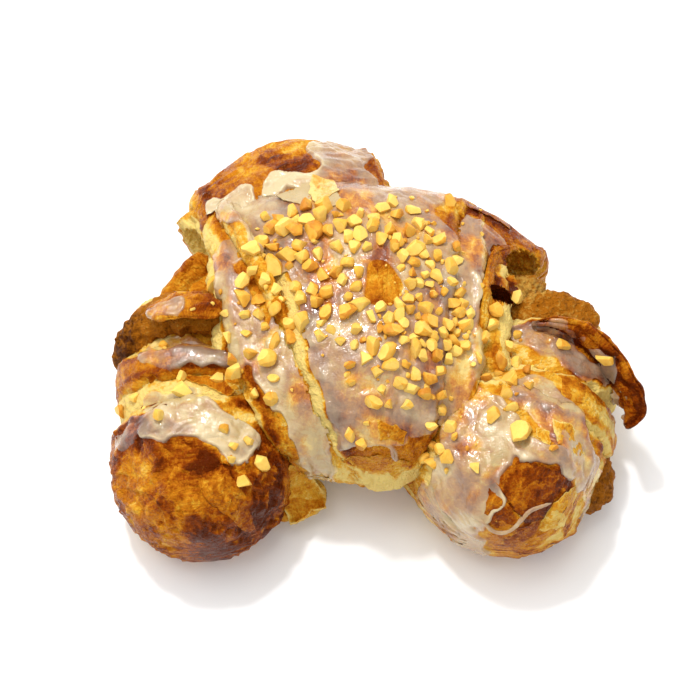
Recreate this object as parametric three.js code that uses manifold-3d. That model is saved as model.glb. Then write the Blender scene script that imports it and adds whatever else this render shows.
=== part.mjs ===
// A glazed crescent pastry with chopped nuts: a fat middle roll whose last wrap ends in a tongue at the
// front, two horns that bend forwards, torn layers, and a baked filling that shows between them.
// Millimetres, +Z up, horns towards -Y. It stands on Z = 0.
import * as THREE from "three";
import { mergeVertices } from "three/addons/utils/BufferGeometryUtils.js";
import Module from "manifold-3d";

const wasm = await Module();
wasm.setup();

// ---- Driving dimensions -------------------------------------------------------------------------
const DOUGH_LIP = 2.4; // how deep the rounded shoulder of a free dough edge is
const UNEVEN = 0.9; // how far the baked surface wanders from a true roll
const PLEAT_DEPTH = 1.6; // how deep the pleats of a horn are
const PLEATS_AROUND = 6; // pleats round a horn
const SLIVER = 0.15; // joined surfaces are tidied where they differ by less than this
const FILLING_GAP = 0.3; // clearance between dough and filling
const ORIGIN = [-1.3, 3.4]; // where the middle of the footprint lies in the design coordinates
const NUT_SIZE = 4.6; // a chopped nut from end to end

// Wraps of dough. Each is a slice of a roll: `at` is the middle of its axis in plan, `yaw` the axis
// direction in degrees, `depth` the size across the axis, `top` and `base` its heights. `left` and
// `right` say where it ends along the axis at the front, the top and the back of the roll.
const WRAPS = [
  { name: "core", at: [-2, 5], yaw: 0, depth: 64, top: 42, base: 3, left: [-34, -42, -42], right: [34, 36, 34], bulge: 3 },
  { name: "back lobe", at: [-19, 33], yaw: 18, depth: 60, top: 43, base: 0, left: [-20, -27, -28], right: [24, 24, 22], bulge: 8 },
  { name: "right lobe", at: [20, 17], yaw: -24, depth: 52, top: 40, base: 0, left: [-22, -22, -24], right: [16, 17, 20], bulge: 5 },
  { name: "left shoulder", at: [-43, 6], yaw: 52, depth: 38, top: 32, base: 0, left: [-14, -16, -14], right: [14, 16, 15], bulge: 3 },
  { name: "second wrap", at: [-4, 3], yaw: 0, depth: 80, top: 47, base: 4, left: [-19, -36, -47], right: [25, 31, 34], bulge: 4 },
  { name: "tongue", at: [0, 3], yaw: 0, depth: 85, top: 52, base: 6, left: [-9, -27, -56], right: [12, 18, 28], bulge: 5 },
  { name: "left horn root", at: [-46, 0], yaw: -95, depth: 43, top: 33, base: 0, left: [-14, -12, -14], right: [18, 16, 16], bulge: 1 },
  { name: "left horn ring", at: [-46, -10], yaw: -92, depth: 47, top: 39, base: 0, left: [-8, -4, -8], right: [9, 6, 4], bulge: 2 },
  { name: "left horn band", at: [-46, -16], yaw: -90, depth: 46, top: 36, base: 0, left: [-10, -6, -8], right: [7, 8, 8], bulge: 2 },
  { name: "left horn cap", at: [-46.5, -26], yaw: -86, depth: 46.5, top: 38, base: 0, left: [-6, -6, -10], right: [29, 29, 29], bulge: 1, round: true },
  { name: "right horn root", at: [42, -4], yaw: -80, depth: 42, top: 34, base: 0, left: [-12, -10, -12], right: [14, 14, 14], bulge: 2 },
  { name: "right horn ring", at: [39, -15], yaw: -92, depth: 48, top: 38, base: 0, left: [-14, -4, 2], right: [10, 10, 14], bulge: 2 },
  { name: "right horn cap", at: [33.5, -28], yaw: -102, depth: 52, top: 42, base: 0, left: [-16, -10, -5], right: [26, 26, 26], bulge: 1, round: true, pleats: 1 },
  { name: "right horn foot", at: [29, -26], yaw: -114, depth: 49, top: 25, base: 0, left: [-12, -12, -12], right: [22, 22, 22], bulge: 1, round: true },
];

// ---- Small helpers ------------------------------------------------------------------------------
const degrees = (angle) => (angle * Math.PI) / 180;
const mix = (a, b, t) => a + (b - a) * t;
// A smooth wander of about -1 to 1 over the surface, so that no roll comes out true.
const wander = (x, y, z) =>
  (Math.sin(x * 0.19 + y * 0.07 + 1.3) + Math.sin(y * 0.23 - z * 0.17 + 0.4) + Math.sin(z * 0.29 + x * 0.11 + 2.1)) / 3;

// Turns rows of points, each a closed ring, into a closed solid with a flat fan at both ends.
function solidFromRings(rings) {
  const columns = rings[0].length;
  const positions = rings.flat(2);
  const faces = [];
  for (let r = 0; r + 1 < rings.length; r++)
    for (let c = 0; c < columns; c++) {
      const a = r * columns + c;
      const b = r * columns + ((c + 1) % columns);
      faces.push(a, b + columns, b, a, a + columns, b + columns);
    }
  for (const [row, turn] of [[0, true], [rings.length - 1, false]]) {
    const centre = positions.length / 3;
    const ring = rings[row];
    for (let k = 0; k < 3; k++) positions.push(ring.reduce((sum, p) => sum + p[k], 0) / columns);
    for (let c = 0; c < columns; c++) {
      const a = row * columns + c;
      const b = row * columns + ((c + 1) % columns);
      faces.push(...(turn ? [a, b, centre] : [b, a, centre]));
    }
  }
  const geometry = new THREE.BufferGeometry();
  geometry.setAttribute("position", new THREE.Float32BufferAttribute(positions, 3));
  geometry.setIndex(faces);
  return solid(geometry);
}

// A closed three.js geometry as a solid that can be joined and cut.
function solid(geometry) {
  const plain = geometry.clone();
  plain.deleteAttribute("normal");
  plain.deleteAttribute("uv");
  const merged = mergeVertices(plain, 1e-4);
  return new wasm.Manifold(
    new wasm.Mesh({
      numProp: 3,
      vertProperties: merged.getAttribute("position").array,
      triVerts: new Uint32Array(merged.getIndex().array),
    }),
  );
}

const join = (pieces) => pieces.reduce((whole, piece) => whole.add(piece));

// ---- Dough --------------------------------------------------------------------------------------
const AROUND = 20; // points round a roll
const STEPS = [0, 0.05, 0.2, 0.42, 0.65, 0.85, 0.96, 1]; // rows along a wrap

// Where an end of a wrap lies at an angle round its roll: front 0, top 90 and back 180 degrees, with a
// curve through those three, and straight across the underside.
function endAt([front, top, back], angle) {
  const t = angle / Math.PI;
  if (t > 1) return mix(back, front, (1 + Math.cos(angle)) / 2);
  return front * 2 * (t - 0.5) * (t - 1) + top * 4 * t * (1 - t) + back * 2 * t * (t - 0.5);
}

function wrap({ at, yaw, depth, top, base, left, right, bulge, round, pleats = 0 }) {
  const along = [Math.cos(degrees(yaw)), Math.sin(degrees(yaw))];
  const across = [along[1], -along[0]]; // towards the front of an unturned roll
  const middle = mix(base, top, 0.4);
  const rings = STEPS.map((u) => {
    const shoulder = Math.min(u, 1 - u) < 0.04 ? DOUGH_LIP : 0;
    const ends = bulge * (1 - Math.sin(Math.PI * u)) + shoulder;
    const shrink = round && u > 0.3 ? Math.sqrt(Math.max(0.02, 1 - ((u - 0.3) / 0.7) ** 2.4)) : 1;
    return Array.from({ length: AROUND }, (_, k) => {
      const angle = (2 * Math.PI * k) / AROUND;
      const c = Math.cos(angle);
      const s = Math.sin(angle);
      const inset = ends + pleats * PLEAT_DEPTH * Math.abs(Math.sin(PLEATS_AROUND * angle / 2 + 1.4 * u));
      const reach = (depth / 2 - inset) * shrink * Math.sign(c) * Math.abs(c) ** 0.85;
      const rise = s > 0 ? (top - middle - inset) * s ** 0.9 : (middle - base + 3) * s;
      const place = mix(endAt(left, angle), endAt(right, angle), u);
      const x = at[0] + along[0] * place + across[0] * reach;
      const y = at[1] + along[1] * place + across[1] * reach;
      const z = middle + rise * mix(1, shrink, 0.75);
      const w = UNEVEN * wander(x, y, z);
      return [x + across[0] * w * c, y + across[1] * w * c, Math.max(base, z + w * Math.max(0, s))];
    });
  });
  return solidFromRings(rings);
}

// A strip swept along a curve: a torn flap of dough or a slab of filling. `wide` lies along `lean`, a
// direction that is made square to the path, and `thick` across it. Both fade towards the ends.
function strip({ path, wide, thick, lean, steps = 9, rough = 0, grow = 0 }) {
  const curve = new THREE.CatmullRomCurve3(path.map((p) => new THREE.Vector3(...p)));
  const rings = [];
  for (let i = 0; i <= steps; i++) {
    const t = i / steps;
    const forward = curve.getTangent(t);
    const outwards = i === 0 ? -grow : i === steps ? grow : 0;
    const centre = curve.getPoint(t).addScaledVector(forward, outwards);
    const side = new THREE.Vector3(...lean).addScaledVector(forward, -forward.dot(new THREE.Vector3(...lean)));
    side.normalize();
    const face = new THREE.Vector3().crossVectors(forward, side);
    const fade = Math.sqrt(1 - Math.min(0.97, Math.abs(2 * t - 1) ** 3.5));
    const ring = [];
    for (let k = 0; k < 10; k++) {
      const angle = (2 * Math.PI * k) / 10;
      const lump = 1 + rough * Math.sin(i * 2.3 + k * 3.1) * Math.sin(k * 1.7 + i * 0.9);
      const p = centre
        .clone()
        .addScaledVector(side, (wide / 2) * fade * lump * Math.cos(angle) + grow * Math.cos(angle))
        .addScaledVector(face, (thick / 2) * fade * lump * Math.sin(angle) + grow * Math.sin(angle));
      ring.push([p.x, p.y, Math.max(grow ? 0 : 0.3, p.z)]);
    }
    rings.push(ring.reverse());
  }
  return solidFromRings(rings);
}

const FLAPS = [
  { name: "right horn flap", path: [[40, 1, 34], [51, -1, 34], [60, -8, 30], [66, -17, 24], [65, -21, 19]], wide: 13, thick: 4, lean: [0.25, 0.1, 1] },
  { name: "left horn foot", path: [[-34, -36, 5], [-25, -36.5, 7], [-14, -36, 8]], wide: 13, thick: 6, lean: [0, 1, 0.3] },
  { name: "left edge of the tongue", path: [[-44, 37, 34], [-39, 28, 42], [-31, 12, 47], [-23, -6, 46]], wide: 6, thick: 4, lean: [0.6, 0.2, 1] },
];

// ---- Hollows ------------------------------------------------------------------------------------
// Open folds between the layers, cut as leaning ellipsoids.
const HOLLOWS = [
  { name: "left fold", at: [-52, 28, 22], radii: [9, 8, 7], yaw: 30 },
  { name: "right pocket", at: [41, 18, 26], radii: [9, 8, 10], yaw: -35 },
];

function hollow({ at, radii, yaw }) {
  const geometry = new THREE.IcosahedronGeometry(1, 2);
  geometry.scale(...radii);
  geometry.rotateZ(degrees(yaw));
  geometry.translate(...at);
  return solid(geometry);
}

// ---- Filling ------------------------------------------------------------------------------------
// One body: a core that runs through the roll from horn to horn, and the places where it comes out.
const FILLING = [
  { name: "core", path: [[-47, -26, 18], [-46, 0, 20], [-26, 16, 22], [4, 16, 22], [32, 6, 20], [43, -12, 17], [52, -28, 13]], wide: 20, thick: 12, lean: [0, 0, 1], steps: 14 },
  { name: "left crust", path: [[-66, -4, 6], [-66, 0, 20], [-58, 4, 31], [-47, 4, 36], [-38, 3, 31], [-32, 6, 24]], wide: 11, thick: 11, lean: [0, 1, 0], rough: 0.16, steps: 12 },
  { name: "left web", path: [[-66, 0, 14], [-48, 2, 18], [-36, 0, 20]], wide: 24, thick: 9, lean: [0, 0, 1] },
  { name: "right slab", path: [[36, 6, 29], [46, 7, 30], [58, 4, 27]], wide: 11, thick: 8, lean: [0, 1, 0.2], rough: 0.12 },
  { name: "right slab foot", path: [[40, 0, 12], [43, 4, 22], [46, 6, 29]], wide: 12, thick: 9, lean: [1, 0, 0] },
  { name: "right crust", path: [[44, -18, 12], [54, -24, 11], [56, -33, 10], [55, -41, 7]], wide: 13, thick: 12, lean: [0, 0, 1], rough: 0.14 },
  { name: "pocket crumbs", path: [[27, 5, 21], [37, 14, 24], [44, 18, 25]], wide: 11, thick: 8, lean: [0, 0, 1], rough: 0.2 },
];
const fillingGrown = (grow) => join(FILLING.map((piece) => strip({ ...piece, grow })));

const filling = fillingGrown(0);
const bareDough = join([...WRAPS.map(wrap), ...FLAPS.map(strip)])
  .subtract(join(HOLLOWS.map(hollow)))
  .subtract(fillingGrown(FILLING_GAP))
  .simplify(SLIVER);

// ---- Nuts ---------------------------------------------------------------------------------------
// Chopped nuts lie in patches, each an ellipse in plan that holds `count` of them at least `apart`.
const NUT_PATCHES = [
  { name: "heap", at: [-5, 3], radii: [28, 30], count: 62, apart: 5.4 },
  { name: "left strip", at: [-32, -7], radii: [7, 18], count: 8, apart: 5.4 },
  { name: "left horn", at: [-51, -15], radii: [13, 8], count: 6, apart: 6 },
  { name: "left seam", at: [-32, -36], radii: [5, 6], count: 3, apart: 6 },
  { name: "right root", at: [35, -5], radii: [10, 11], count: 8, apart: 5.4 },
  { name: "right horn", at: [31, -28], radii: [12, 9], count: 4, apart: 7 },
  { name: "crack", at: [15, -30], radii: [4, 9], count: 4, apart: 5.4 },
  { name: "right lobe", at: [19, 30], radii: [12, 8], count: 3, apart: 7 },
  { name: "foot of the tongue", at: [-4, -32], radii: [9, 5], count: 4, apart: 5.4 },
];
const NUT_SEED = 41;

// Random numbers between 0 and 1 that come out the same each time.
function dice(seed) {
  let state = seed;
  return () => {
    state = (state * 16807) % 2147483647;
    return state / 2147483647;
  };
}

function nutPlaces() {
  const draw = dice(NUT_SEED);
  const places = [];
  for (const { at, radii, count, apart } of NUT_PATCHES) {
    let wanted = count;
    for (let tries = 0; wanted > 0 && tries < 40 * count; tries++) {
      const angle = 2 * Math.PI * draw();
      const reach = Math.sqrt(draw());
      const spot = [at[0] + radii[0] * reach * Math.cos(angle), at[1] + radii[1] * reach * Math.sin(angle)];
      if (places.some((other) => Math.hypot(other[0] - spot[0], other[1] - spot[1]) < apart)) continue;
      places.push(spot);
      wanted -= 1;
    }
  }
  return places;
}

// One nut: a 20-sided lump, longer than it is thick, lying on the dough where a plumb line meets it.
function nut([x, y], ground, draw) {
  const down = new THREE.Raycaster(new THREE.Vector3(x, y, 100), new THREE.Vector3(0, 0, -1));
  const hit = down.intersectObject(ground)[0];
  const size = NUT_SIZE * mix(0.85, 1.2, draw());
  const geometry = new THREE.IcosahedronGeometry(size / 2, 0);
  geometry.scale(1.15, mix(0.75, 0.95, draw()), 0.7);
  geometry.rotateZ(2 * Math.PI * draw());
  const tilt = new THREE.Quaternion().setFromUnitVectors(new THREE.Vector3(0, 0, 1), hit.face.normal);
  geometry.applyQuaternion(tilt);
  geometry.translate(...hit.point.addScaledVector(hit.face.normal, size * 0.16).toArray());
  return solid(geometry);
}

function sprinkle(base) {
  const ground = meshOf(base, "ground", new THREE.MeshStandardMaterial());
  const draw = dice(NUT_SEED + 1);
  const nuts = nutPlaces().map((place) => nut(place, ground, draw));
  return base.add(join(nuts)).subtract(fillingGrown(FILLING_GAP));
}

// The main body, without loose scraps. Its points are merged first, so that a scrap which only
// touches it at a point comes loose too.
function mainBody(made) {
  const bodies = solid(meshOf(made, "merged", new THREE.MeshStandardMaterial()).geometry).decompose();
  return bodies.reduce((largest, body) => (body.volume() > largest.volume() ? body : largest));
}

const dough = mainBody(sprinkle(bareDough));

// ---- Meshes -------------------------------------------------------------------------------------
function meshOf(made, name, material) {
  const { vertProperties, triVerts } = made.getMesh();
  const geometry = new THREE.BufferGeometry();
  geometry.setAttribute("position", new THREE.BufferAttribute(vertProperties, 3));
  geometry.setIndex(new THREE.BufferAttribute(triVerts, 1));
  const mesh = new THREE.Mesh(geometry, material);
  mesh.name = name;
  return mesh;
}

const crust = new THREE.MeshStandardMaterial({ color: 0xc98a3c, roughness: 0.6, metalness: 0 });
const baked = new THREE.MeshStandardMaterial({ color: 0x7a4216, roughness: 0.8, metalness: 0 });

const pastry = new THREE.Group();
pastry.add(meshOf(dough, "dough", crust));
pastry.add(meshOf(filling, "filling", baked));
pastry.position.set(-ORIGIN[0], -ORIGIN[1], 0);

export default pastry;
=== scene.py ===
"""A glazed crescent pastry: rolled dough baked in layers, a filling that shows between them, milky sugar
glaze and chopped nuts. Each wrap of dough is a slice of a roll with its own surface, and the slices are
joined into one crust that the glaze and the nuts then lie on.

Lengths below are millimetres in the pastry's own plan: X across, Y to the back, Z up from the table.
"""

import math
from dataclasses import dataclass

import bmesh
import bpy
import numpy as np
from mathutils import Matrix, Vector
from mathutils.bvhtree import BVHTree


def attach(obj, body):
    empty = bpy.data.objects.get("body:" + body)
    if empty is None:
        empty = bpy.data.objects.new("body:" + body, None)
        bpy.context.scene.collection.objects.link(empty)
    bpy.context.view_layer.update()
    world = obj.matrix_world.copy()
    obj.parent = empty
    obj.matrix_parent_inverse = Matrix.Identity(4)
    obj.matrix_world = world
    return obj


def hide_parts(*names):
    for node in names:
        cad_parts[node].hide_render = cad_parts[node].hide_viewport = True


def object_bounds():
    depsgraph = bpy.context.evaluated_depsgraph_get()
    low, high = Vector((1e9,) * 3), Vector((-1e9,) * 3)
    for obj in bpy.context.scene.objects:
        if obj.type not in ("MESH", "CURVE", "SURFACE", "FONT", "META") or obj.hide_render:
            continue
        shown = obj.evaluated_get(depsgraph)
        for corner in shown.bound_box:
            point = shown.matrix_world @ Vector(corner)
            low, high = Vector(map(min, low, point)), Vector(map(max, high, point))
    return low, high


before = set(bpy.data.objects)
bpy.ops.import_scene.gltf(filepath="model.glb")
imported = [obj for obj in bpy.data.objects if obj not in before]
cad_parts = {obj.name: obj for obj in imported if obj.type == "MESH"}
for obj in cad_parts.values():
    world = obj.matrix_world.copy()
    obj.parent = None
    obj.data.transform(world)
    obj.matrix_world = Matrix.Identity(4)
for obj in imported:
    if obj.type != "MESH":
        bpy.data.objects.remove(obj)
CAD_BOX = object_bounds()

bl_info = {
    "name": "Crescent pastry",
    "version": (1, 0, 0),
    "blender": (4, 5, 0),
    "location": "3D View > Sidebar > Pastry",
    "description": "Builds a glazed crescent pastry with a baked filling and chopped nuts",
    "category": "Add Mesh",
}

MM = 0.001
FOOTPRINT_CENTRE = np.array([-1.3, 3.4, 0.0])  # the frame's origin in the pastry's own plan
MOST_ABOVE_CAD = 1.3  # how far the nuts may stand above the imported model


# ---- Sizes and colours a user may change ----------------------------------------------------------

def length_setting(name, description, millimetres):
    """A setting that is a length."""
    return bpy.props.FloatProperty(
        name=name, description=description, default=millimetres * MM, unit="LENGTH")


class PastrySizes(bpy.types.PropertyGroup):
    """Sizes of the dough, the glaze and the nuts."""

    lip: length_setting("Dough edge", "Depth of the rounded shoulder of a free dough edge", 2.4)
    uneven: length_setting("Unevenness", "How far the baked surface wanders from a true roll", 0.9)
    lumps: length_setting("Lumps", "Height of the broad lumps of the crust", 0.9)
    wrinkles: length_setting("Wrinkles", "Height of the ridges along the grain of the dough", 0.4)
    flakes: length_setting("Flakes", "Height of the thin layers that lift off the crust", 0.8)
    torn: length_setting("Torn edges", "How far a torn edge of dough strays", 1.5)
    glaze: length_setting("Glaze", "Thickness of the glaze away from its edge", 0.4)
    bead: length_setting("Glaze edge", "Extra thickness of the bead along the edge of the glaze", 0.35)
    nut: length_setting("Nut", "Length of a middling piece of nut", 4.1)


def colour(name, description, value):
    """A colour setting, in linear light."""
    return bpy.props.FloatVectorProperty(
        name=name, description=description, default=value, size=3, subtype="COLOR", min=0.0, max=1.0)


class PastryColours(bpy.types.PropertyGroup):
    """Colours of the crust, the glaze, the nuts and the filling."""

    crumb: colour("Crumb", "Pale dough at a torn edge", (0.76, 0.56, 0.17))
    golden: colour("Golden", "Lightly baked crust", (0.68, 0.35, 0.028))
    orange: colour("Orange", "Well baked crust", (0.52, 0.175, 0.007))
    brown: colour("Brown", "Brown crust", (0.24, 0.042, 0.0014))
    dark: colour("Dark", "The darkest crust", (0.085, 0.0095, 0.0005))
    milk: colour("Milky glaze", "Glaze where it lies thick", (0.60, 0.47, 0.265))
    veil: colour("Thin glaze", "Glaze that only veils the crust", (0.33, 0.24, 0.155))
    nut: colour("Nut", "Inside of a nut", (0.87, 0.60, 0.14))
    toasted: colour("Toasted nut", "Outside of a nut", (0.72, 0.37, 0.042))
    skin: colour("Nut skin", "Brown spots on a nut", (0.52, 0.20, 0.02))
    filling: colour("Filling", "Baked filling", (0.42, 0.135, 0.006))
    filling_light: colour("Filling crumbs", "Light crumbs of the filling", (0.60, 0.33, 0.06))
    filling_dark: colour("Burnt filling", "Filling that baked darkest", (0.07, 0.014, 0.001))


# ---- Smooth random fields ---------------------------------------------------------------------------

def mix(low, high, t):
    """The value between two others, linearly."""
    return low + (high - low) * t


def smooth(low, high, value):
    """0 below low, 1 above high and a smooth step between them."""
    t = np.clip((value - low) / (high - low), 0.0, 1.0)
    return t * t * (3.0 - 2.0 * t)


def lattice(cells, seed):
    """A fixed random number from -1 to 1 for each whole-numbered cell."""
    mask = 0xFFFFFFFF
    n = (cells[..., 0] * 73856093 ^ cells[..., 1] * 19349663 ^ cells[..., 2] * 83492791) & mask
    n = (n ^ (seed * 374761393)) & mask
    n = ((n ^ (n >> 13)) * 1274126177) & mask
    n = ((n ^ (n >> 16)) * 668265263) & mask
    return ((n ^ (n >> 15)) & 0xFFFF) / 32767.5 - 1.0


def noise(points, seed=0):
    """Smooth noise from -1 to 1 whose lumps are about one unit across."""
    points = np.asarray(points, float)
    cells = np.floor(points).astype(np.int64)
    part = points - cells
    part = part * part * (3.0 - 2.0 * part)
    total = 0.0
    for corner in np.ndindex(2, 2, 2):
        weight = np.prod(np.where(corner, part, 1.0 - part), axis=-1)
        total = total + weight * lattice(cells + np.array(corner), seed)
    return total


def layered_noise(points, layers, seed=0):
    """Noise with finer and weaker noise on top."""
    total = sum(0.5 ** k * noise(points * 2.0 ** k, seed + k) for k in range(layers))
    return total / (2.0 - 0.5 ** (layers - 1))


def warped(points, size, strength, seed):
    """Points moved about by noise with lumps of a size."""
    shift = [layered_noise(points / size, 2, seed + k) for k in range(3)]
    return points + strength * np.stack(shift, axis=-1)


def wander(x, y, z):
    """The broad unevenness that the CAD dough has too, from about -1 to 1."""
    return (np.sin(x * 0.19 + y * 0.07 + 1.3) + np.sin(y * 0.23 - z * 0.17 + 0.4)
            + np.sin(z * 0.29 + x * 0.11 + 2.1)) / 3.0


# ---- Meshes ---------------------------------------------------------------------------------------

def new_mesh_object(name, points, faces, attributes=(), face_attributes=()):
    """An object from points in the pastry's own plan, with numbers or vectors on its points or faces."""
    mesh = bpy.data.meshes.new(name)
    mesh.from_pydata(((points - FOOTPRINT_CENTRE) * MM).tolist(), [], faces)
    for domain, table in (("POINT", attributes), ("FACE", face_attributes)):
        for key, values in dict(table).items():
            vector = np.ndim(values) == 2
            kind, field = ("FLOAT_VECTOR", "vector") if vector else ("FLOAT", "value")
            flat = np.ravel(values).astype(np.float32)
            mesh.attributes.new(key, kind, domain).data.foreach_set(field, flat)
    made = bpy.data.objects.new(name, mesh)
    bpy.context.scene.collection.objects.link(made)
    return made


def mesh_points(mesh):
    """A mesh's points in the pastry's own plan."""
    flat = np.empty(len(mesh.vertices) * 3, np.float32)
    mesh.vertices.foreach_get("co", flat)
    return flat.reshape(-1, 3) / MM + FOOTPRINT_CENTRE


def move_mesh_points(mesh, points):
    """Puts a mesh's points at new places in the pastry's own plan."""
    mesh.vertices.foreach_set("co", ((points - FOOTPRINT_CENTRE) * MM).ravel().astype(np.float32))
    mesh.update()


def mesh_normals(mesh):
    """A mesh's point normals."""
    flat = np.empty(len(mesh.vertices) * 3, np.float32)
    mesh.vertex_normals.foreach_get("vector", flat)
    return flat.reshape(-1, 3)


def mesh_values(mesh, key):
    """One attribute of a mesh as an array."""
    attribute = mesh.attributes[key]
    if attribute.data_type == "FLOAT_VECTOR":
        flat = np.empty(len(mesh.vertices) * 3, np.float32)
        attribute.data.foreach_get("vector", flat)
        return flat.reshape(-1, 3)
    flat = np.empty(len(mesh.vertices), np.float32)
    attribute.data.foreach_get("value", flat)
    return flat


def set_mesh_values(mesh, key, values):
    """Writes one number for each point of a mesh."""
    attribute = mesh.attributes.get(key) or mesh.attributes.new(key, "FLOAT", "POINT")
    attribute.data.foreach_set("value", np.asarray(values, np.float32))


def apply_step(made, kind, **settings):
    """Adds one modifier with its settings and applies it."""
    step = made.modifiers.new(kind.lower(), kind)
    for key, value in settings.items():
        setattr(step, key, value)
    with bpy.context.temp_override(object=made, active_object=made):
        bpy.ops.object.modifier_apply(modifier=step.name)


def shade_by_angle(made, degrees):
    """Smooth shading that keeps edges sharper than an angle crisp."""
    made.data.shade_smooth()
    with bpy.context.temp_override(object=made, active_object=made, selected_objects=[made],
                                   selected_editable_objects=[made]):
        bpy.ops.object.shade_smooth_by_angle(angle=math.radians(degrees))


def apply_boolean(base, others, operation):
    """Joins other objects to a base, or cuts them out of it, and removes them."""
    group = bpy.data.collections.new("cutters")
    for other in others:
        group.objects.link(other)
    apply_step(base, "BOOLEAN", operand_type="COLLECTION", collection=group, operation=operation,
               solver="MANIFOLD")
    for other in others:
        bpy.data.objects.remove(other)
    bpy.data.collections.remove(group)
    return base


def faces_of_rings(rows, columns):
    """Faces of a closed skin over rows of rings, whose first and last rings are filled."""
    faces = []
    for r in range(rows - 1):
        a = np.arange(columns) + r * columns
        b = np.roll(a, -1)
        faces += np.stack([a, a + columns, b + columns, b], axis=1).tolist()
    faces.append(np.arange(columns).tolist())
    faces.append((np.arange(columns)[::-1] + (rows - 1) * columns).tolist())
    return faces


def grid_normals(grid):
    """Outward normals of rows of rings."""
    down = np.gradient(grid, axis=0)
    wrapped = np.concatenate([grid[:, -1:], grid, grid[:, :1]], axis=1)
    round_ = np.gradient(wrapped, axis=1)[:, 1:-1]
    normals = np.cross(down, round_)
    return normals / np.maximum(np.linalg.norm(normals, axis=-1, keepdims=True), 1e-9)


def unit_ball(subdivisions):
    """Points and triangles of a ball of radius one."""
    ball = bmesh.new()
    bmesh.ops.create_icosphere(ball, subdivisions=subdivisions, radius=1.0)
    points = np.array([vertex.co for vertex in ball.verts], float)
    faces = [[vertex.index for vertex in face.verts] for face in ball.faces]
    ball.free()
    return points, faces


# ---- Marks on the crust ---------------------------------------------------------------------------

OUTSIDE = -9.0  # stands for a place far outside every mark


@dataclass
class Mark:
    """A place on the crust seen from above: an ellipse round one point, or a band along several."""

    value: float
    size: object  # half the ellipse's length and breadth, or half the band's width
    path: list
    on: list  # names of the pieces of dough that it keeps to; none means any

    def reach(self, points, owners):
        """How far inside the mark points lie, in millimetres; outside is negative."""
        if len(self.path) == 1:
            a, b = ((points[:, :2] - self.path[0]) / self.size).T
            depth = (1.0 - np.hypot(a, b)) * min(self.size)
        else:
            depth = self.size - distance_to_path(points, self.path)
        if self.on:
            kept = np.isin(owners, [OWNERS.index(name) for name in self.on])
            depth = np.where(kept, depth, OUTSIDE)
        return depth


def marks(groups):
    """Marks from rows of value, size and path, under the pieces of dough that they keep to, if any."""
    return [Mark(value, size, path, names.split(", ") if names else [])
            for names, rows in groups.items() for value, size, *path in rows]


def distance_to_path(points, path):
    """Distance in plan from points to a line through several places."""
    best = np.full(len(points), np.inf)
    for start, end in zip(path[:-1], path[1:]):
        start, run = np.array(start, float), np.subtract(end, start).astype(float)
        along = np.clip((points[:, :2] - start) @ run / (run @ run), 0.0, 1.0)
        best = np.minimum(best, np.linalg.norm(points[:, :2] - start - along[:, None] * run, axis=1))
    return best


# ---- Dough ----------------------------------------------------------------------------------------

@dataclass
class Wrap:
    """A slice of a roll of dough. `at` is the middle of its axis in plan and `yaw` its direction.

    `left` and `right` say where it ends along the axis at the front, the top and the back of the roll.
    """

    name: str
    at: tuple
    yaw: float
    depth: float
    top: float
    base: float
    left: tuple
    right: tuple
    bulge: float
    round: bool = False
    pleats: float = 0.0
    bake: float = 0.42  # from 0, pale, to 1, darkest
    flaky: float = 0.5
    grain: float = 0.0  # wrinkles run round the roll at 0 and along it at 1
    edges: tuple = (3.0, 3.0)  # how far in from its left and right end the torn edge reaches
    pale: tuple = (1.0, 1.0)  # how pale the crumb of those torn ends is
    foot: float = -9.0  # the dough is pale below this angle at the front
    mottled: float = 0.2  # how unevenly it is baked
    pale_before: float = 99.0  # the torn left end is pale in front of this place only


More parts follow.
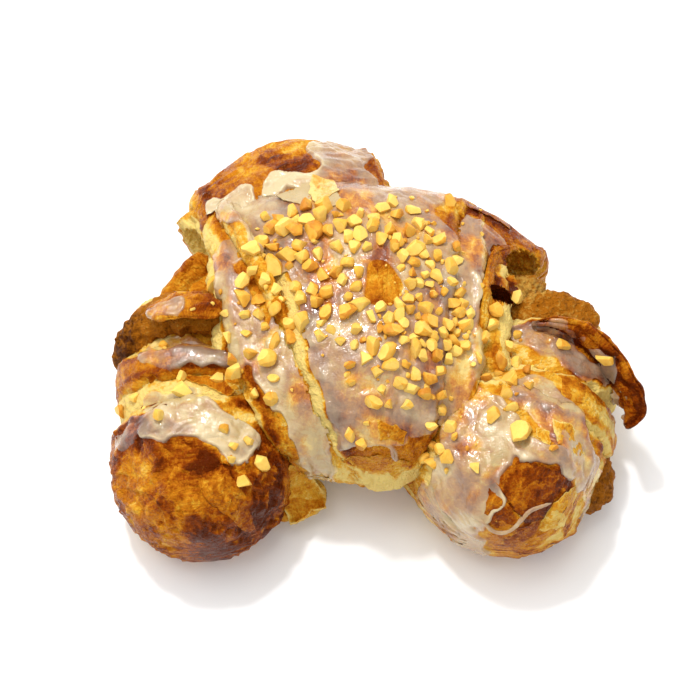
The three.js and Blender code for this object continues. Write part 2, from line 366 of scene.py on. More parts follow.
WRAPS = [
    Wrap("core", (-2, 5), 0, 64, 42, 3, (-34, -42, -42), (34, 36, 34), 3, bake=0.2),
    Wrap("back lobe", (-19, 33), 18, 60, 43, 0, (-20, -27, -28), (24, 24, 22), 8, bake=0.44, flaky=0.9,
         grain=1, edges=(3, 1.5), pale=(0.3, 0.2), mottled=0.1),
    Wrap("right lobe", (20, 17), -24, 52, 40, 0, (-22, -22, -24), (16, 17, 20), 5, bake=0.55, flaky=0.7,
         grain=1, edges=(1.5, 1.5), pale=(0.2, 0.2)),
    Wrap("left shoulder", (-43, 6), 52, 38, 32, 0, (-14, -16, -14), (14, 16, 15), 3, bake=0.5,
         pale=(0.4, 0.4)),
    Wrap("second wrap", (-4, 3), 0, 80, 47, 4, (-19, -36, -47), (25, 31, 34), 4, bake=0.32, flaky=0.4,
         edges=(2.5, 1.5), pale=(0.5, 0.35)),
    Wrap("tongue", (0, 3), 0, 85, 52, 6, (-9, -27, -56), (12, 18, 28), 5, bake=0.42, flaky=0.4,
         edges=(6.5, 1.5), pale=(1, 0.1), foot=0.2, pale_before=9),
    Wrap("left horn root", (-46, 0), -95, 43, 33, 0, (-14, -12, -14), (18, 16, 16), 1, bake=0.25,
         pale=(0.6, 0.6)),
    Wrap("left horn ring", (-46, -10), -92, 47, 39, 0, (-8, -4, -8), (8, 4, 2), 2, bake=0.42, flaky=0.5,
         edges=(2, 1.5), pale=(0.6, 0.2)),
    Wrap("left horn band", (-46, -16), -90, 46, 36, 0, (-10, -6, -8), (7, 8, 8), 2, bake=-0.06, flaky=0.15,
         edges=(3, 0.5)),
    Wrap("left horn cap", (-46.5, -26), -86, 46.5, 38, 0, (-6, -6, -10), (29, 29, 29), 1, round=True,
         bake=0.6, flaky=1.3, grain=0.4, edges=(3, 3), pale=(0.5, 0.5)),
    Wrap("right horn root", (42, -4), -80, 42, 34, 0, (-12, -10, -12), (14, 14, 14), 2, bake=0.12),
    Wrap("right horn ring", (39, -15), -92, 48, 38, 0, (-14, -4, 2), (10, 10, 14), 2, bake=0.24, flaky=0.5,
         edges=(2.5, 2), pale=(0.7, 0.5)),
    Wrap("right horn cap", (33.5, -28), -102, 52, 42, 0, (-16, -10, -5), (26, 26, 26), 1, round=True,
         pleats=1, bake=0.3, flaky=0.7, grain=1, edges=(2.5, 3), pale=(0.4, 0.5)),
    Wrap("right horn foot", (29, -26), -114, 49, 25, 0, (-12, -12, -12), (22, 22, 22), 1, round=True,
         bake=0.36, flaky=1.4, grain=0.2, pale=(0.5, 0.5)),
]
PLEAT_DEPTH = 1.6
PLEATS_AROUND = 6  # broad pleats round a horn
FINE_PLEAT_DEPTH = 1.3
FINE_PLEATS = 12  # narrower ones over them
FINE_PLEAT_TURN = 8.0  # how far they wind round the horn towards its tip
PLEATED = ((1.2, 1.7), (5.5, 4.5))  # angles round a roll between which it is pleated
ROW_STEP = 0.85  # spacing of points along a roll
SURFACE_STEP = 0.83  # spacing of points round the part of a roll that shows
UNDERSIDE_STEP = 2.6
CAP_RINGS = 9
CAP_RANGE = (0.93, 0.08)  # where the first and last ring of a cap lie, as parts of its radius
LUMP_SIZE = 9.0  # breadth of the broad lumps of the crust
WRINKLES = ((2.1, 13.0), (1.15, 6.0))  # breadth and length of the coarse and the fine ones
FLAKE_SIZE = 9.5  # breadth of the thin layers that lift off
FLAKE_EDGE = 0.16  # the part of a flake over which its edge drops
LAYERED_BELOW = (26, 13)  # heights between which the layers come to show
LAYER_RISE = 2.1  # how far apart the layers show on the low sides of the dough
LAYER_DEPTH = 0.22
FACET_SHARE = 0.9  # how much of what stands above a facet is pressed in
RAGGED = ((0.55, 5), (0.3, 13), (0.2, 34))  # how far a torn edge strays, and how often
CRUMB_SIZE = 1.7  # breadth of the grains of torn crumb
ROUND_FROM = 0.3  # the part of its length after which a round end curves in


@dataclass
class Strip:
    """A strip along a curve: `lean` is the direction of its broad side."""

    name: str
    path: tuple
    wide: float
    thick: float
    lean: tuple


@dataclass
class Flap(Strip):
    """A thin piece of dough along a curve."""

    bake: float
    layers: float = 0.2  # depth of the lines between its layers, and how dark their painted shade is


FLAPS = [
    Flap("right horn flap", ((40, 1, 34), (51, -1, 34), (60, -8, 30), (66, -17, 24), (65, -21, 19)),
         13, 4, (0.25, 0.1, 1), 0.5, 0.6),
    Flap("left horn foot", ((-34, -36, 5), (-25, -36.5, 7), (-14, -36, 8)), 13, 6, (0, 1, 0.3), 0.24),
    Flap("left edge of the tongue", ((-44, 37, 34), (-39, 28, 42), (-31, 12, 47), (-23, -6, 46)),
         6, 4, (0.6, 0.2, 1), 0.22),
    Flap("left brow", ((-60, 3, 38), (-53, 3, 41.5), (-46, 3, 42.5), (-40, 1, 42)),
         9, 3, (0.1, 1, -0.3), 0.45),
    Flap("left shoulder fold", ((-57.5, 9, 24), (-51.5, 17, 26), (-45, 25, 27)),
         11, 6, (-0.5, 0.4, 0.75), 0.5),
    Flap("right fold", ((37, 24, 33), (30.5, 18, 38.5), (28, 6, 40.5), (26.5, -5, 40)),
         6, 2.6, (-0.35, 0, 1), 0.42),
]
OWNERS = [wrap.name for wrap in WRAPS] + [flap.name for flap in FLAPS] + ["hollow"]

# Where the crust is browner or paler than its piece of dough, or darker with painted shade: how much, the
# mark's size and its path.
BAKED_AND_SHADED = marks({
    "back lobe": [
        (0.38, 4, (-30, 50), (-21, 46)), (0.06, 6, (-44, 40), (-40, 50)), (0.12, 5, (-4, 58), (0, 44)),
        (0.15, 4, (-14, 50), (-8, 44)), (-0.05, 9, (-40, 38), (-28, 52), (-12, 57)),
        (0.2, 5, (-50, 28), (-46, 40))],
    "left horn cap": [
        (0.14, 6, (-50, -37), (-42, -43)), (0.2, (7, 5), (-40, -51)), (0.25, 3, (-64, -30), (-56, -30)),
        (-0.22, (5, 8), (-62, -40)), (0.2, 3, (-43, -36), (-38, -44)), (-0.2, 3.5, (-43, -43), (-47, -51)),
        (0.2, 3.5, (-45, -53), (-38, -58)), (0.14, 4, (-54, -46), (-48, -52)),
        (0.25, 2.5, (-59, -33), (-55, -38)), (-0.6, 6.5, (-54, -21), (-46, -23), (-38, -29))],
    "core": [(0.3, 4, (29, 16), (33, 4))],
    "": [
        (0.34, 4.2, (-30, -35), (-28, -46), (-30, -54)), (-0.2, (5, 14), (29, -9))],
    "second wrap": [
        (0.42, 2.2, (-33, -16), (-29, -23), (-26, -29)), (-0.06, 4, (-30, -22), (-24, -34)),
        (-0.2, (6, 10), (-13, -33))],
    "right horn cap": [
        (0.5, 6.5, (33, -44), (43, -45)), (0.25, 3, (28, -56), (39, -54)),
        (0.16, 1.8, (34, -19), (46, -25), (54, -34))],
    "right horn cap, right horn foot": [(-0.2, (6, 8), (14, -44))],
    "tongue": [
        (-0.02, (8, 9), (1, 4)), (0.12, 3, (-2, -27), (8, -29)), (0.1, 3, (-9, -12), (-6, -34)),
        (0.15, 4, (18, 8), (15, -20))],
    "right lobe": [
        (0.1, (5, 10), (36, 27)), (0.35, 3.5, (25, 36), (33, 33))],
    "right lobe, second wrap": [
        (0.3, 3, (31, 18), (30, 6)), (0.4, 1.6, (25, 16), (26, 2))],
    "right horn flap, right horn ring, right horn root": [(0.4, 4, (40, -1), (58, -11))],
    # Painted shade: the right crack and the crust round its mouth are coloured much darker.
    "core, right lobe, second wrap, right horn root, hollow": [(0.5, (5, 2.5), (32.5, 11))],
    "left horn ring": [
        (0.24, 3, (-50, -5), (-36, -8)), (0.22, 1.4, (-64, -18), (-54, -12), (-38, -12)),
        (0.3, 2.5, (-42, -11), (-33, -16))],
    "right horn flap": [(0.2, (5, 6), (66, -18))],
    "left shoulder": [(0.2, (7, 5), (-55, 19))],
})
BAKED_WARP = 2.5  # how far the outline of such a patch strays
BAKED_EDGE = (-1.0, 1.3)  # from how far outside to how far inside a patch its colour comes in
# Where the crust is rough with baked crumbs, and how deep.
CRUMBLY = marks({
    "": [(1.1, 4, (-31, -34), (-29, -42), (-29, -50))],
    "left horn cap": [
        (0.35, 4, (-64, -38), (-60, -50)), (0.35, 6, (-48, -50), (-40, -56))],
})


@dataclass
class Facet:
    """A flat place pressed into a round end: a point on it, the way it faces and how far it cuts in."""

    on: str
    at: tuple
    faces: tuple
    cut: float


FACETS = [
    Facet("right horn cap", (31, -48, 36.7), (-0.1, -0.5, 0.86), 1.6),
    Facet("right horn cap", (47.6, -46.9, 33.7), (0.6, -0.42, 0.68), 2.2),
    Facet("right horn cap", (58, -38, 18), (0.84, -0.5, 0.2), 2.6),
    Facet("right horn cap", (19, -46.4, 32.1), (-0.64, -0.47, 0.61), 1.2),
    Facet("right horn cap", (42, -30, 40), (0.25, 0.1, 0.96), 1.0),
    Facet("left horn cap", (-47, -42, 37), (-0.1, -0.2, 0.97), 1.2),
    Facet("left horn cap", (-29.4, -45.5, 29.7), (0.62, -0.7, 0.3), 1.8),
    Facet("left horn cap", (-60.1, -43.2, 30.7), (-0.67, -0.3, 0.67), 1.5),
    Facet("left horn cap", (-47.3, -56.5, 27), (-0.13, -0.85, 0.5), 1.5),
]


@dataclass
class Hollow:
    """An open fold or crack between layers of dough, by the ellipsoid that it takes away."""

    name: str
    at: tuple
    radii: tuple
    yaw: float
    bake: float
    pale: float  # how much of its lining is pale crumb


HOLLOWS = [
    Hollow("left fold", (-52, 28, 22), (9, 8, 7), 30, 0.2, 0.9),
    Hollow("right pocket", (38, 17.5, 28), (9, 8.5, 9.5), -35, 0.42, 0.05),
    # The right crack's lining is coloured darkest: painted shade in the narrow crack.
    Hollow("right crack", (31.5, 7.5, 35), (4.5, 2.6, 9), -10, 1.0, 0),
]


def end_at(ends, angle):
    """Where an end of a wrap lies at an angle round its roll: front 0, top 90 and back 180 degrees."""
    front, top, back = ends
    t = angle / math.pi
    over = front * 2 * (t - 0.5) * (t - 1) + top * 4 * t * (1 - t) + back * 2 * t * (t - 0.5)
    under = mix(back, front, (1 + np.cos(angle)) / 2)
    return np.where(t > 1, under, np.where(t < 0, front, over))


def roll_points(wrap, u, angle, inset, uneven):
    """Points on a roll at parts `u` of its length and angles round it, and their places on the axis."""
    along = np.array([math.cos(math.radians(wrap.yaw)), math.sin(math.radians(wrap.yaw))])
    across = np.array([along[1], -along[0]])
    middle = mix(wrap.base, wrap.top, 0.4)
    shrink = np.ones_like(u)
    if wrap.round:
        shrink = np.sqrt(np.maximum(0.0, 1 - (np.maximum(u - ROUND_FROM, 0) / (1 - ROUND_FROM)) ** 2.4))
    c, s = np.cos(angle), np.sin(angle)
    reach = (wrap.depth / 2 - inset) * shrink * np.sign(c) * np.abs(c) ** 0.85
    rise = np.where(s > 0, (wrap.top - middle - inset) * np.abs(s) ** 0.9, (middle - wrap.base + 3) * s)
    place = mix(end_at(wrap.left, angle), end_at(wrap.right, angle), u)
    x = wrap.at[0] + along[0] * place + across[0] * reach
    y = wrap.at[1] + along[1] * place + across[1] * reach
    z = middle + rise * mix(1.0, shrink, 0.75)
    stray = uneven * wander(x, y, z)
    points = np.stack([x + across[0] * stray * c, y + across[1] * stray * c,
                       z + stray * np.maximum(0, s)], axis=-1)
    return points, place


def angles_round(wrap):
    """Angles round a roll, close together where it shows and wide apart underneath."""
    radius = wrap.depth / 2
    low, high = -0.4, math.pi + 0.4
    fine = np.linspace(low, high, int((high - low) * radius / SURFACE_STEP), endpoint=False)
    rest = 2 * math.pi - (high - low)
    return np.concatenate([fine, np.linspace(high, low + 2 * math.pi, int(rest * radius / UNDERSIDE_STEP),
                                             endpoint=False)])


def skin_relief(wrap, place, arc, points, sizes, seed):
    """Height of the crust above its roll, how near points are to a flake's edge, and its ridges."""
    across, run = mix(place, arc, wrap.grain), mix(arc, place, wrap.grain)
    sway = 2.0 * layered_noise(points / 7.0, 2, seed + 40)
    coarse, fine = (
        np.stack([(across + sway) / wide, run / long, np.full_like(place, seed * apart)], axis=-1)
        for (wide, long), apart in zip(WRINKLES, (7.3, 3.1)))
    lumps = layered_noise(points / LUMP_SIZE, 3, seed)
    ridges = 0.6 - 1.6 * np.abs(noise(coarse, seed)) + 0.3 - 0.8 * np.abs(noise(fine, seed + 5))
    field = 2.6 * layered_noise(warped(points, 4.0, 1.6, seed + 50) / FLAKE_SIZE + 17.0, 3, seed + 9)
    part = field - np.floor(field)
    flake = smooth(0.0, FLAKE_EDGE, part) - part
    edge = np.exp(-((part - FLAKE_EDGE) / 0.12) ** 2)
    low = smooth(*LAYERED_BELOW, points[..., 2])
    layers = low * np.sin(2 * math.pi * points[..., 2] / LAYER_RISE + 3.0 * noise(points / 9.0, seed + 60))
    height = (sizes.lumps * lumps + sizes.wrinkles * ridges + sizes.flakes * wrap.flaky * flake) / MM
    return height + LAYER_DEPTH * layers, edge, ridges + 2.2 * layers


def bake_at(points, owners, level, seed, mottled=0.2):
    """How brown the crust is at points, painted shade included: its piece's level, the marks, the height and
    some chance.
    """
    bake = level + mottled * layered_noise(points / 11.0, 3, seed + 20)
    stray = BAKED_WARP * np.stack([layered_noise(points / 5.0, 2, 40 + k) for k in range(3)], axis=-1)
    for mark in BAKED_AND_SHADED:
        bake = bake + mark.value * smooth(*BAKED_EDGE, mark.reach(points + stray, owners))
    return bake + 0.08 * smooth(20, 40, points[..., 2]) - 0.1 * smooth(16, 4, points[..., 2])


def crumbs_at(points, name, seed):
    """Height of the crumbs baked onto a wrap at points, in millimetres."""
    flat = points.reshape(-1, 3)
    owners = np.full(len(flat), float(OWNERS.index(name)))
    there = sum(mark.value * smooth(-1.5, 1.5, mark.reach(flat, owners)) for mark in CRUMBLY)
    grains = layered_noise(points / CRUMB_SIZE, 3, seed + 70)
    return there.reshape(points.shape[:-1]) * (np.abs(grains) * 1.6 - 0.2)


def wrap_object(wrap, sizes, seed):
    """One slice of the roll as a closed mesh, with its bake, torn edges and places on the roll."""
    angle = angles_round(wrap)
    length = max(wrap.right[1] - wrap.left[1], 8.0)
    lips = [max(edge, 1.0) / length for edge in wrap.edges]
    edges = [lip * np.linspace(0, 1, 6)[:-1] for lip in lips]
    if wrap.round:
        tip = 1 - 0.12 * (1 - np.sin(np.linspace(0, math.pi / 2, 16)))
        body = np.linspace(lips[0], tip[0], max(6, int(length / ROW_STEP)), endpoint=False)
        u = np.concatenate([edges[0], body, tip[:-1]])
    else:
        body = np.linspace(lips[0], 1 - lips[1], max(6, int(length / ROW_STEP)))
        u = np.concatenate([edges[0], body, 1 - edges[1][::-1]])
    u, a = np.meshgrid(u, angle, indexing="ij")
    from_left, from_right = u / lips[0], np.where(wrap.round, 9.0, (1 - u) / lips[1])
    from_edge = np.minimum(from_left, from_right)
    shoulder = sizes.lip / MM * (1 - np.sqrt(1 - (1 - np.minimum(from_edge, 1)) ** 2))
    inset = wrap.bulge * (1 - np.sin(math.pi * u)) + shoulder
    pleat = np.abs(np.sin(PLEATS_AROUND * a / 2 + 1.4 * u))
    folded = wrap.pleats * smooth(1.0, 0.85, u) * smooth(*PLEATED[0], a) * smooth(*PLEATED[1], a)
    bent = 1.1 * noise(np.stack([3.0 * u, 2.0 * a, 0 * u + 4.0], axis=-1), seed)
    fine = np.abs(np.sin(FINE_PLEATS * a / 2 - FINE_PLEAT_TURN * u + bent))
    inset = inset + wrap.pleats * PLEAT_DEPTH * mix(0.6, pleat, folded) * smooth(1.0, 0.85, u)
    inset = inset + folded * FINE_PLEAT_DEPTH * (fine - 0.5)
    points, place = roll_points(wrap, u, a, inset, sizes.uneven / MM)
    along = np.array([math.cos(math.radians(wrap.yaw)), math.sin(math.radians(wrap.yaw)), 0.0])
    ragged = sum(amount * noise(np.stack([a * rate, u * 0, np.full_like(a, seed)], axis=-1), seed + rate)
                 for amount, rate in RAGGED)
    points = points + along * (sizes.torn / MM * ragged * (1 - smooth(0, 3, from_edge)))[..., None]
    arc = a * wrap.depth / 2
    for facet in FACETS:
        if facet.on == wrap.name:
            outward = np.array(facet.faces) / np.linalg.norm(facet.faces)
            above = (points - np.array(facet.at)) @ outward + facet.cut
            points = points - outward * (FACET_SHARE * np.maximum(0, above))[..., None]
    relief, flake, ridges = skin_relief(wrap, place, arc, points, sizes, seed)
    lifted = 0.7 * np.exp(-((from_edge - 1.15) / 0.35) ** 2) * (0.5 + noise(points / 4.0, seed + 2))
    tip_fade = smooth(1.0, 0.93, u) if wrap.round else 1.0
    crumbs = crumbs_at(points, wrap.name, seed)
    points = points + grid_normals(points) * ((relief + lifted + crumbs) * tip_fade)[..., None]
    fray = 0.3 * layered_noise(points / 2.5, 2, seed + 3)
    cut = 1 - smooth(0.7, 1.05, from_edge + fray)
    cut = cut * np.where(from_left < from_right, *wrap.pale)
    cut = cut * smooth(wrap.pale_before + 5, wrap.pale_before - 3, points[..., 1])
    cut = np.maximum(cut, smooth(0.06, -0.06, a - wrap.foot + 0.4 * fray) * smooth(-1.4, -1.2, a))
    rim = np.exp(-((from_edge - 1.35) / 0.5) ** 2)
    tint = 0.12 * relief + 0.25 * rim - 0.16 * wrap.flaky * flake + 0.05 * ridges - 0.3 * crumbs
    tint = tint + folded * (0.24 * np.exp(-(fine / 0.25) ** 2) - 0.14 * smooth(0.3, 0.7, fine))

    rows = [(points, tint, cut, place, arc)]
    for row, first in ((0, True), (-1, False)):
        ring = points[row]
        centre = ring.mean(axis=0)
        q = np.linspace(*CAP_RANGE, CAP_RINGS)[:, None, None]
        domed = wrap.round and not first
        inner = centre + (ring - centre) * q
        hollow = 0.0 if domed else 1.2 * (1 - q) + 0.45 * np.sin(q * wrap.depth * 0.9)
        inner = inner + along * hollow * (1 if first else -1)
        ones = np.ones(inner.shape[:2])
        crumb = 0.0 if domed else wrap.pale[row]
        strip = (inner, 0 * ones, crumb * ones, place[row] * ones, arc[row] * ones)
        rows = [tuple(v[::-1] for v in strip)] + rows if first else rows + [strip]
    points, tint, cut, place, arc = (np.concatenate(parts) for parts in zip(*rows))
    points[..., 2] = np.maximum(points[..., 2], wrap.base)
    flat = points.reshape(-1, 3)
    rolled = np.stack([place.ravel(), arc.ravel(), np.full(place.size, seed * 31.0)], axis=-1)
    owner = np.full(len(flat), float(OWNERS.index(wrap.name)))
    bake = bake_at(flat, owner, wrap.bake, seed, wrap.mottled) + tint.ravel()
    return new_mesh_object(wrap.name, flat, faces_of_rings(*points.shape[:2]), {
        "bake": bake, "cut": cut.ravel(), "rolled": rolled, "owner": owner, "rest": flat})


LOWEST = 0.3  # strips keep this far above the table


def strip_rings(strip, steps, around, lumps, scale, seed):
    """Rings along a flap or strip that fades towards its ends, with lumps on its surface."""
    knots = np.array(strip.path, float)
    t = np.linspace(0, 1, steps)
    centre = catmull_rom(knots, t)
    forward = np.gradient(centre, axis=0)
    forward /= np.linalg.norm(forward, axis=1, keepdims=True)
    lean = np.array(strip.lean, float)
    side = lean - forward * (forward @ lean)[:, None]
    side /= np.linalg.norm(side, axis=1, keepdims=True)
    face = np.cross(forward, side)
    fade = np.sqrt(1 - np.minimum(0.97, np.abs(2 * t - 1) ** 3.5))[:, None, None]
    angle = -np.linspace(0, 2 * math.pi, around, endpoint=False)[None, :, None]
    rings = (centre[:, None] + side[:, None] * (strip.wide / 2) * fade * np.cos(angle)
             + face[:, None] * (strip.thick / 2) * fade * np.sin(angle))
    if lumps:
        push = layered_noise(rings / scale, 3, seed) + 0.6 * noise(rings / (scale * 0.45), seed + 7)
        rings = rings + grid_normals(rings) * (lumps * push)[..., None]
    rings[..., 2] = np.maximum(rings[..., 2], LOWEST)
    return rings


def catmull_rom(knots, t):
    """Points along a smooth curve through knots."""
    padded = np.vstack([2 * knots[0] - knots[1], knots, 2 * knots[-1] - knots[-2]])
    place = np.clip(t * (len(knots) - 1), 0, len(knots) - 1 - 1e-6)
    k = place.astype(int)
    f = (place - k)[:, None]
    p0, p1, p2, p3 = (padded[k + n] for n in range(4))
    return 0.5 * (2 * p1 + (p2 - p0) * f + (2 * p0 - 5 * p1 + 4 * p2 - p3) * f ** 2
                  + (3 * p1 - p0 - 3 * p2 + p3) * f ** 3)


FLAP_STEPS = 60
FLAP_AROUND = 64
FLAP_LAYERS = 4
FLAP_LUMPS = (0.6, 4.0)  # height and size


def flap_object(flap, seed):
    """A torn flap of dough."""
    rings = strip_rings(flap, FLAP_STEPS, FLAP_AROUND, *FLAP_LUMPS, seed)
    lap = np.linspace(0, 2 * math.pi, FLAP_AROUND, endpoint=False) + 0.5 * noise(rings / 6.0, seed)
    layers = np.abs(np.sin(FLAP_LAYERS * lap))
    rings = rings - grid_normals(rings) * (flap.layers * (1 - layers) ** 2)[..., None]
    flat = rings.reshape(-1, 3)
    rolled = np.stack([np.repeat(np.arange(FLAP_STEPS), FLAP_AROUND) * 1.0,
                       np.tile(np.arange(FLAP_AROUND), FLAP_STEPS) * 0.5,
                       np.full(len(flat), seed * 31.0)], axis=-1)
    owner = np.full(len(flat), float(OWNERS.index(flap.name)))
    bake = bake_at(flat, owner, flap.bake, seed) + 0.2 * layered_noise(flat / 4.0, 3, seed)
    # Painted shade: the grooves between its layers are coloured darker, the deeper they are.
    bake = bake + 0.5 * flap.layers * (1 - layers).ravel() ** 2
    return new_mesh_object(flap.name, flat, faces_of_rings(FLAP_STEPS, FLAP_AROUND), {
        "bake": bake, "cut": 0 * bake, "rolled": rolled, "owner": owner, "rest": flat})


HOLLOW_DIVISIONS = 6


def hollow_object(hollow, seed):
    """The uneven ellipsoid of a hollow, with the looks of its lining."""
    unit, faces = unit_ball(HOLLOW_DIVISIONS)
    unit = unit * (1 + 0.2 * layered_noise(unit * 4.0, 3, seed) + 0.06 * noise(unit * 16.0, seed))[:, None]
    turn = math.radians(hollow.yaw)
    c, s = math.cos(turn), math.sin(turn)
    points = unit * np.array(hollow.radii) @ np.array([[c, s, 0], [-s, c, 0], [0, 0, 1]])
    points = points + np.array(hollow.at)
    ones = np.ones(len(points))
    return new_mesh_object(hollow.name, points, faces, {
        "bake": hollow.bake * ones, "cut": hollow.pale * ones, "rolled": points,
        "owner": (len(OWNERS) - 1) * ones, "rest": points})


def mend_joined_points(made):
    """Gives points that a join or cut made the looks of a neighbouring old point."""
    mesh = made.data
    known = np.linalg.norm(mesh_points(mesh) - mesh_values(mesh, "rest"), axis=1) < 0.05
    flat = np.empty(len(mesh.edges) * 2, np.int32)
    mesh.edges.foreach_get("vertices", flat)
    pairs = flat.reshape(-1, 2)
    source = np.arange(len(known))
    for _ in range(4):
        for a, b in ((0, 1), (1, 0)):
            step = known[pairs[:, a]] & ~known[pairs[:, b]]
            source[pairs[step, b]] = source[pairs[step, a]]
            known[pairs[step, b]] = True
    for key in ("bake", "cut", "rolled", "owner"):
        attribute = mesh.attributes[key]
        field = "vector" if attribute.data_type == "FLOAT_VECTOR" else "value"
        attribute.data.foreach_set(field, mesh_values(mesh, key)[source].ravel())


# ---- Glaze ----------------------------------------------------------------------------------------

# Where glaze was poured: how milky it is there, the pour's size and its path.
POURED = marks({
    "back lobe": [
        (0.42, 7.5, (-10, 54), (-9, 42)), (0.85, 3.5, (-17, 51), (-14, 45), (-15, 39)),
        (0.95, 4, (-27, 40), (-18, 40))],
    "tongue, left edge of the tongue, back lobe": [(0.8, 3.8, (-44, 33.5), (-37, 35))],
    "tongue, left edge of the tongue": [(0.6, 8.5, (-38, 34), (-30, 28), (-24, 20))],
    "tongue": [
        (0.5, 8, (-24, 36), (-16, 30)), (0.36, (31, 37), (-4, 2)), (0.6, 1.8, (-6, -33), (2, -34)),
        (0.25, 2.5, (-6, -30), (12, -30))],
    "tongue, second wrap": [(0.45, 10, (-10, 40), (8, 36))],
    "right lobe, second wrap": [(0.4, 9.5, (5, 35), (15, 28), (23, 20))],
    "second wrap, right lobe": [(0.85, 4.2, (20, 20), (23, 8), (22, -6))],
    "second wrap": [
        (0.42, 6.5, (-42, 10), (-37, -2), (-33, -12)), (0.72, 5.5, (-33, -8), (-28, -17), (-22, -25)),
        (0.5, 5, (-24, -4), (-20, -16), (-16, -28)), (0.6, 5, (-19, -27), (-15, -35)),
        (0.4, 6, (23, -2), (21, -14), (17, -26))],
    "second wrap, core": [(0.4, 4, (-44, 14), (-36, 20))],
    "left horn ring, left horn root": [(0.4, 5.5, (-58, -6), (-38, -8))],
    "left horn band, left horn cap": [(0.25, 3.5, (-58, -22), (-48, -20))],
    "left horn cap, left horn band": [
        (0.75, 5.2, (-56, -26), (-44, -27), (-36, -33)), (0.3, 3, (-66, -29), (-57, -23))],
    "left brow": [(0.45, 3.2, (-58, 1), (-52, 1))],
    "right horn flap, right horn ring, right horn root": [(0.3, 4.2, (37, 0), (45, -4), (58, -11))],
    "right horn flap": [(0.9, 1.8, (62, -15), (63, -17))],
    "right horn cap, right horn foot": [
        (0.42, 6.5, (24, -24), (20, -34), (18, -46)), (0.35, 4, (10, -43), (16, -50))],
    "right horn cap": [
        (0.62, 5.5, (28, -26), (27, -36), (24, -48)), (0.6, 3.5, (31, -28), (34, -36), (46, -39))],
    "right horn cap, right horn ring": [(0.3, 6, (38, -20), (46, -28), (55, -39))],
})
# Where the crust stays bare inside those.
BARE = marks({
    "tongue": [(1, (4.6, 6), (1, 5))],
    "back lobe": [(1, 4.5, (-32, 53), (-21, 46))],
    "right horn cap": [(1, 5.5, (35, -45), (44, -46))],
    "second wrap": [(1, 1.6, (-33, -16), (-29, -23), (-26, -29))],
})
GLAZE_REACHES = -1.6  # the skin of glaze goes on this far under the crust outside a pour
STEEPEST = -0.2  # glaze doesn't lie on crust that faces down more than this
PALEST = 0.8  # nor on crumb torn open as much as this
GLAZE_DIP = -0.7  # how deep its skin lies under bare crust
GLAZE_THINNEST = 0.12
DRAWN_UP = (3.6, 1.6)  # from how far to how near a nut draws the glaze up


def glaze_cover(points, owners):
    """How far inside the glaze points lie, in millimetres, and how milky it is there."""
    bent = warped(points, 6.0, 3.2, 60)
    cover = np.full(len(points), OUTSIDE)
    milk, weight = np.zeros(len(points)), np.full(len(points), 1e-6)
    for pour in POURED:
        reach = pour.reach(bent, owners)
        cover = np.maximum(cover, reach)
        share = np.maximum(reach, 0)
        milk += share * pour.value
        weight += share
    for gap in BARE:
        cover = np.minimum(cover, -gap.reach(bent, owners))
    return cover, milk / weight


def glaze_object(dough, spots, sizes):
    """A skin over the dough that swells where glaze was poured and dips under the crust elsewhere."""
    source = dough.data
    points, normals = mesh_points(source), mesh_normals(source)
    cover, milk = glaze_cover(points, np.round(mesh_values(source, "owner")))
    cover = np.where((normals[:, 2] < STEEPEST) | (mesh_values(source, "cut") > PALEST), OUTSIDE, cover)
    wanted = cover > GLAZE_REACHES
    faces = [face for face in (list(polygon.vertices) for polygon in source.polygons) if wanted[face].all()]
    used = np.unique(np.concatenate([np.array(face) for face in faces]))
    order = np.full(len(points), -1)
    order[used] = np.arange(len(used))
    values = {key: mesh_values(source, key)[used] for key in ("bake", "cut", "rolled")}
    skin = new_mesh_object("glaze", points[used], [order[face].tolist() for face in faces],
                           {**values, "cover": cover[used], "milk": milk[used]})
    apply_step(skin, "SUBSURF", subdivision_type="SIMPLE", levels=1)
    apply_step(skin, "SMOOTH", factor=0.5, iterations=5)
    mesh = skin.data
    points, normals = mesh_points(mesh), mesh_normals(mesh)
    cover, milk = mesh_values(mesh, "cover"), mesh_values(mesh, "milk")
    drawn = smooth(*DRAWN_UP, nearest_spot(points, spots))
    thick = sizes.glaze / MM * (0.4 + 0.7 * milk + 0.6 * layered_noise(points / 4.0, 2, 71) + 0.8 * drawn)
    bead = np.exp(-((cover - 0.8) / 0.7) ** 2) * smooth(0.3, 0.7, milk)
    height = mix(GLAZE_DIP, np.maximum(thick, GLAZE_THINNEST) + sizes.bead / MM * bead,
                 smooth(-0.5, 0.9, cover))
    move_mesh_points(mesh, points + normals * height[:, None])
    milky = milk + 0.8 * layered_noise(points / 7.0, 3, 73) + 0.25 * bead + 0.15 * drawn
    set_mesh_values(mesh, "milk", np.clip(milky, 0, 1.2) * smooth(-0.1, 1.4, cover + 0.5 * milk))
    baked = mesh_values(mesh, "bake") + 0.4 * layered_noise(points / 7.0, 3, 75)
    set_mesh_values(mesh, "bake", baked)
    mesh.attributes.remove(mesh.attributes["cover"])
    return skin


def nearest_spot(points, spots):
    """Distance in plan from points to the nearest of some spots."""
    best = np.full(len(points), np.inf)
    for spot in spots:
        best = np.minimum(best, np.hypot(points[:, 0] - spot[0], points[:, 1] - spot[1]))
    return best


# ---- Nuts -----------------------------------------------------------------------------------------

@dataclass
class NutPatch:
    """Chopped nuts scattered over an ellipse in plan, none closer together than `apart`."""

    name: str
    at: tuple
    radii: tuple
    yaw: float
    count: int
    apart: float
    size: float = 1.0  # times the length of a middling nut


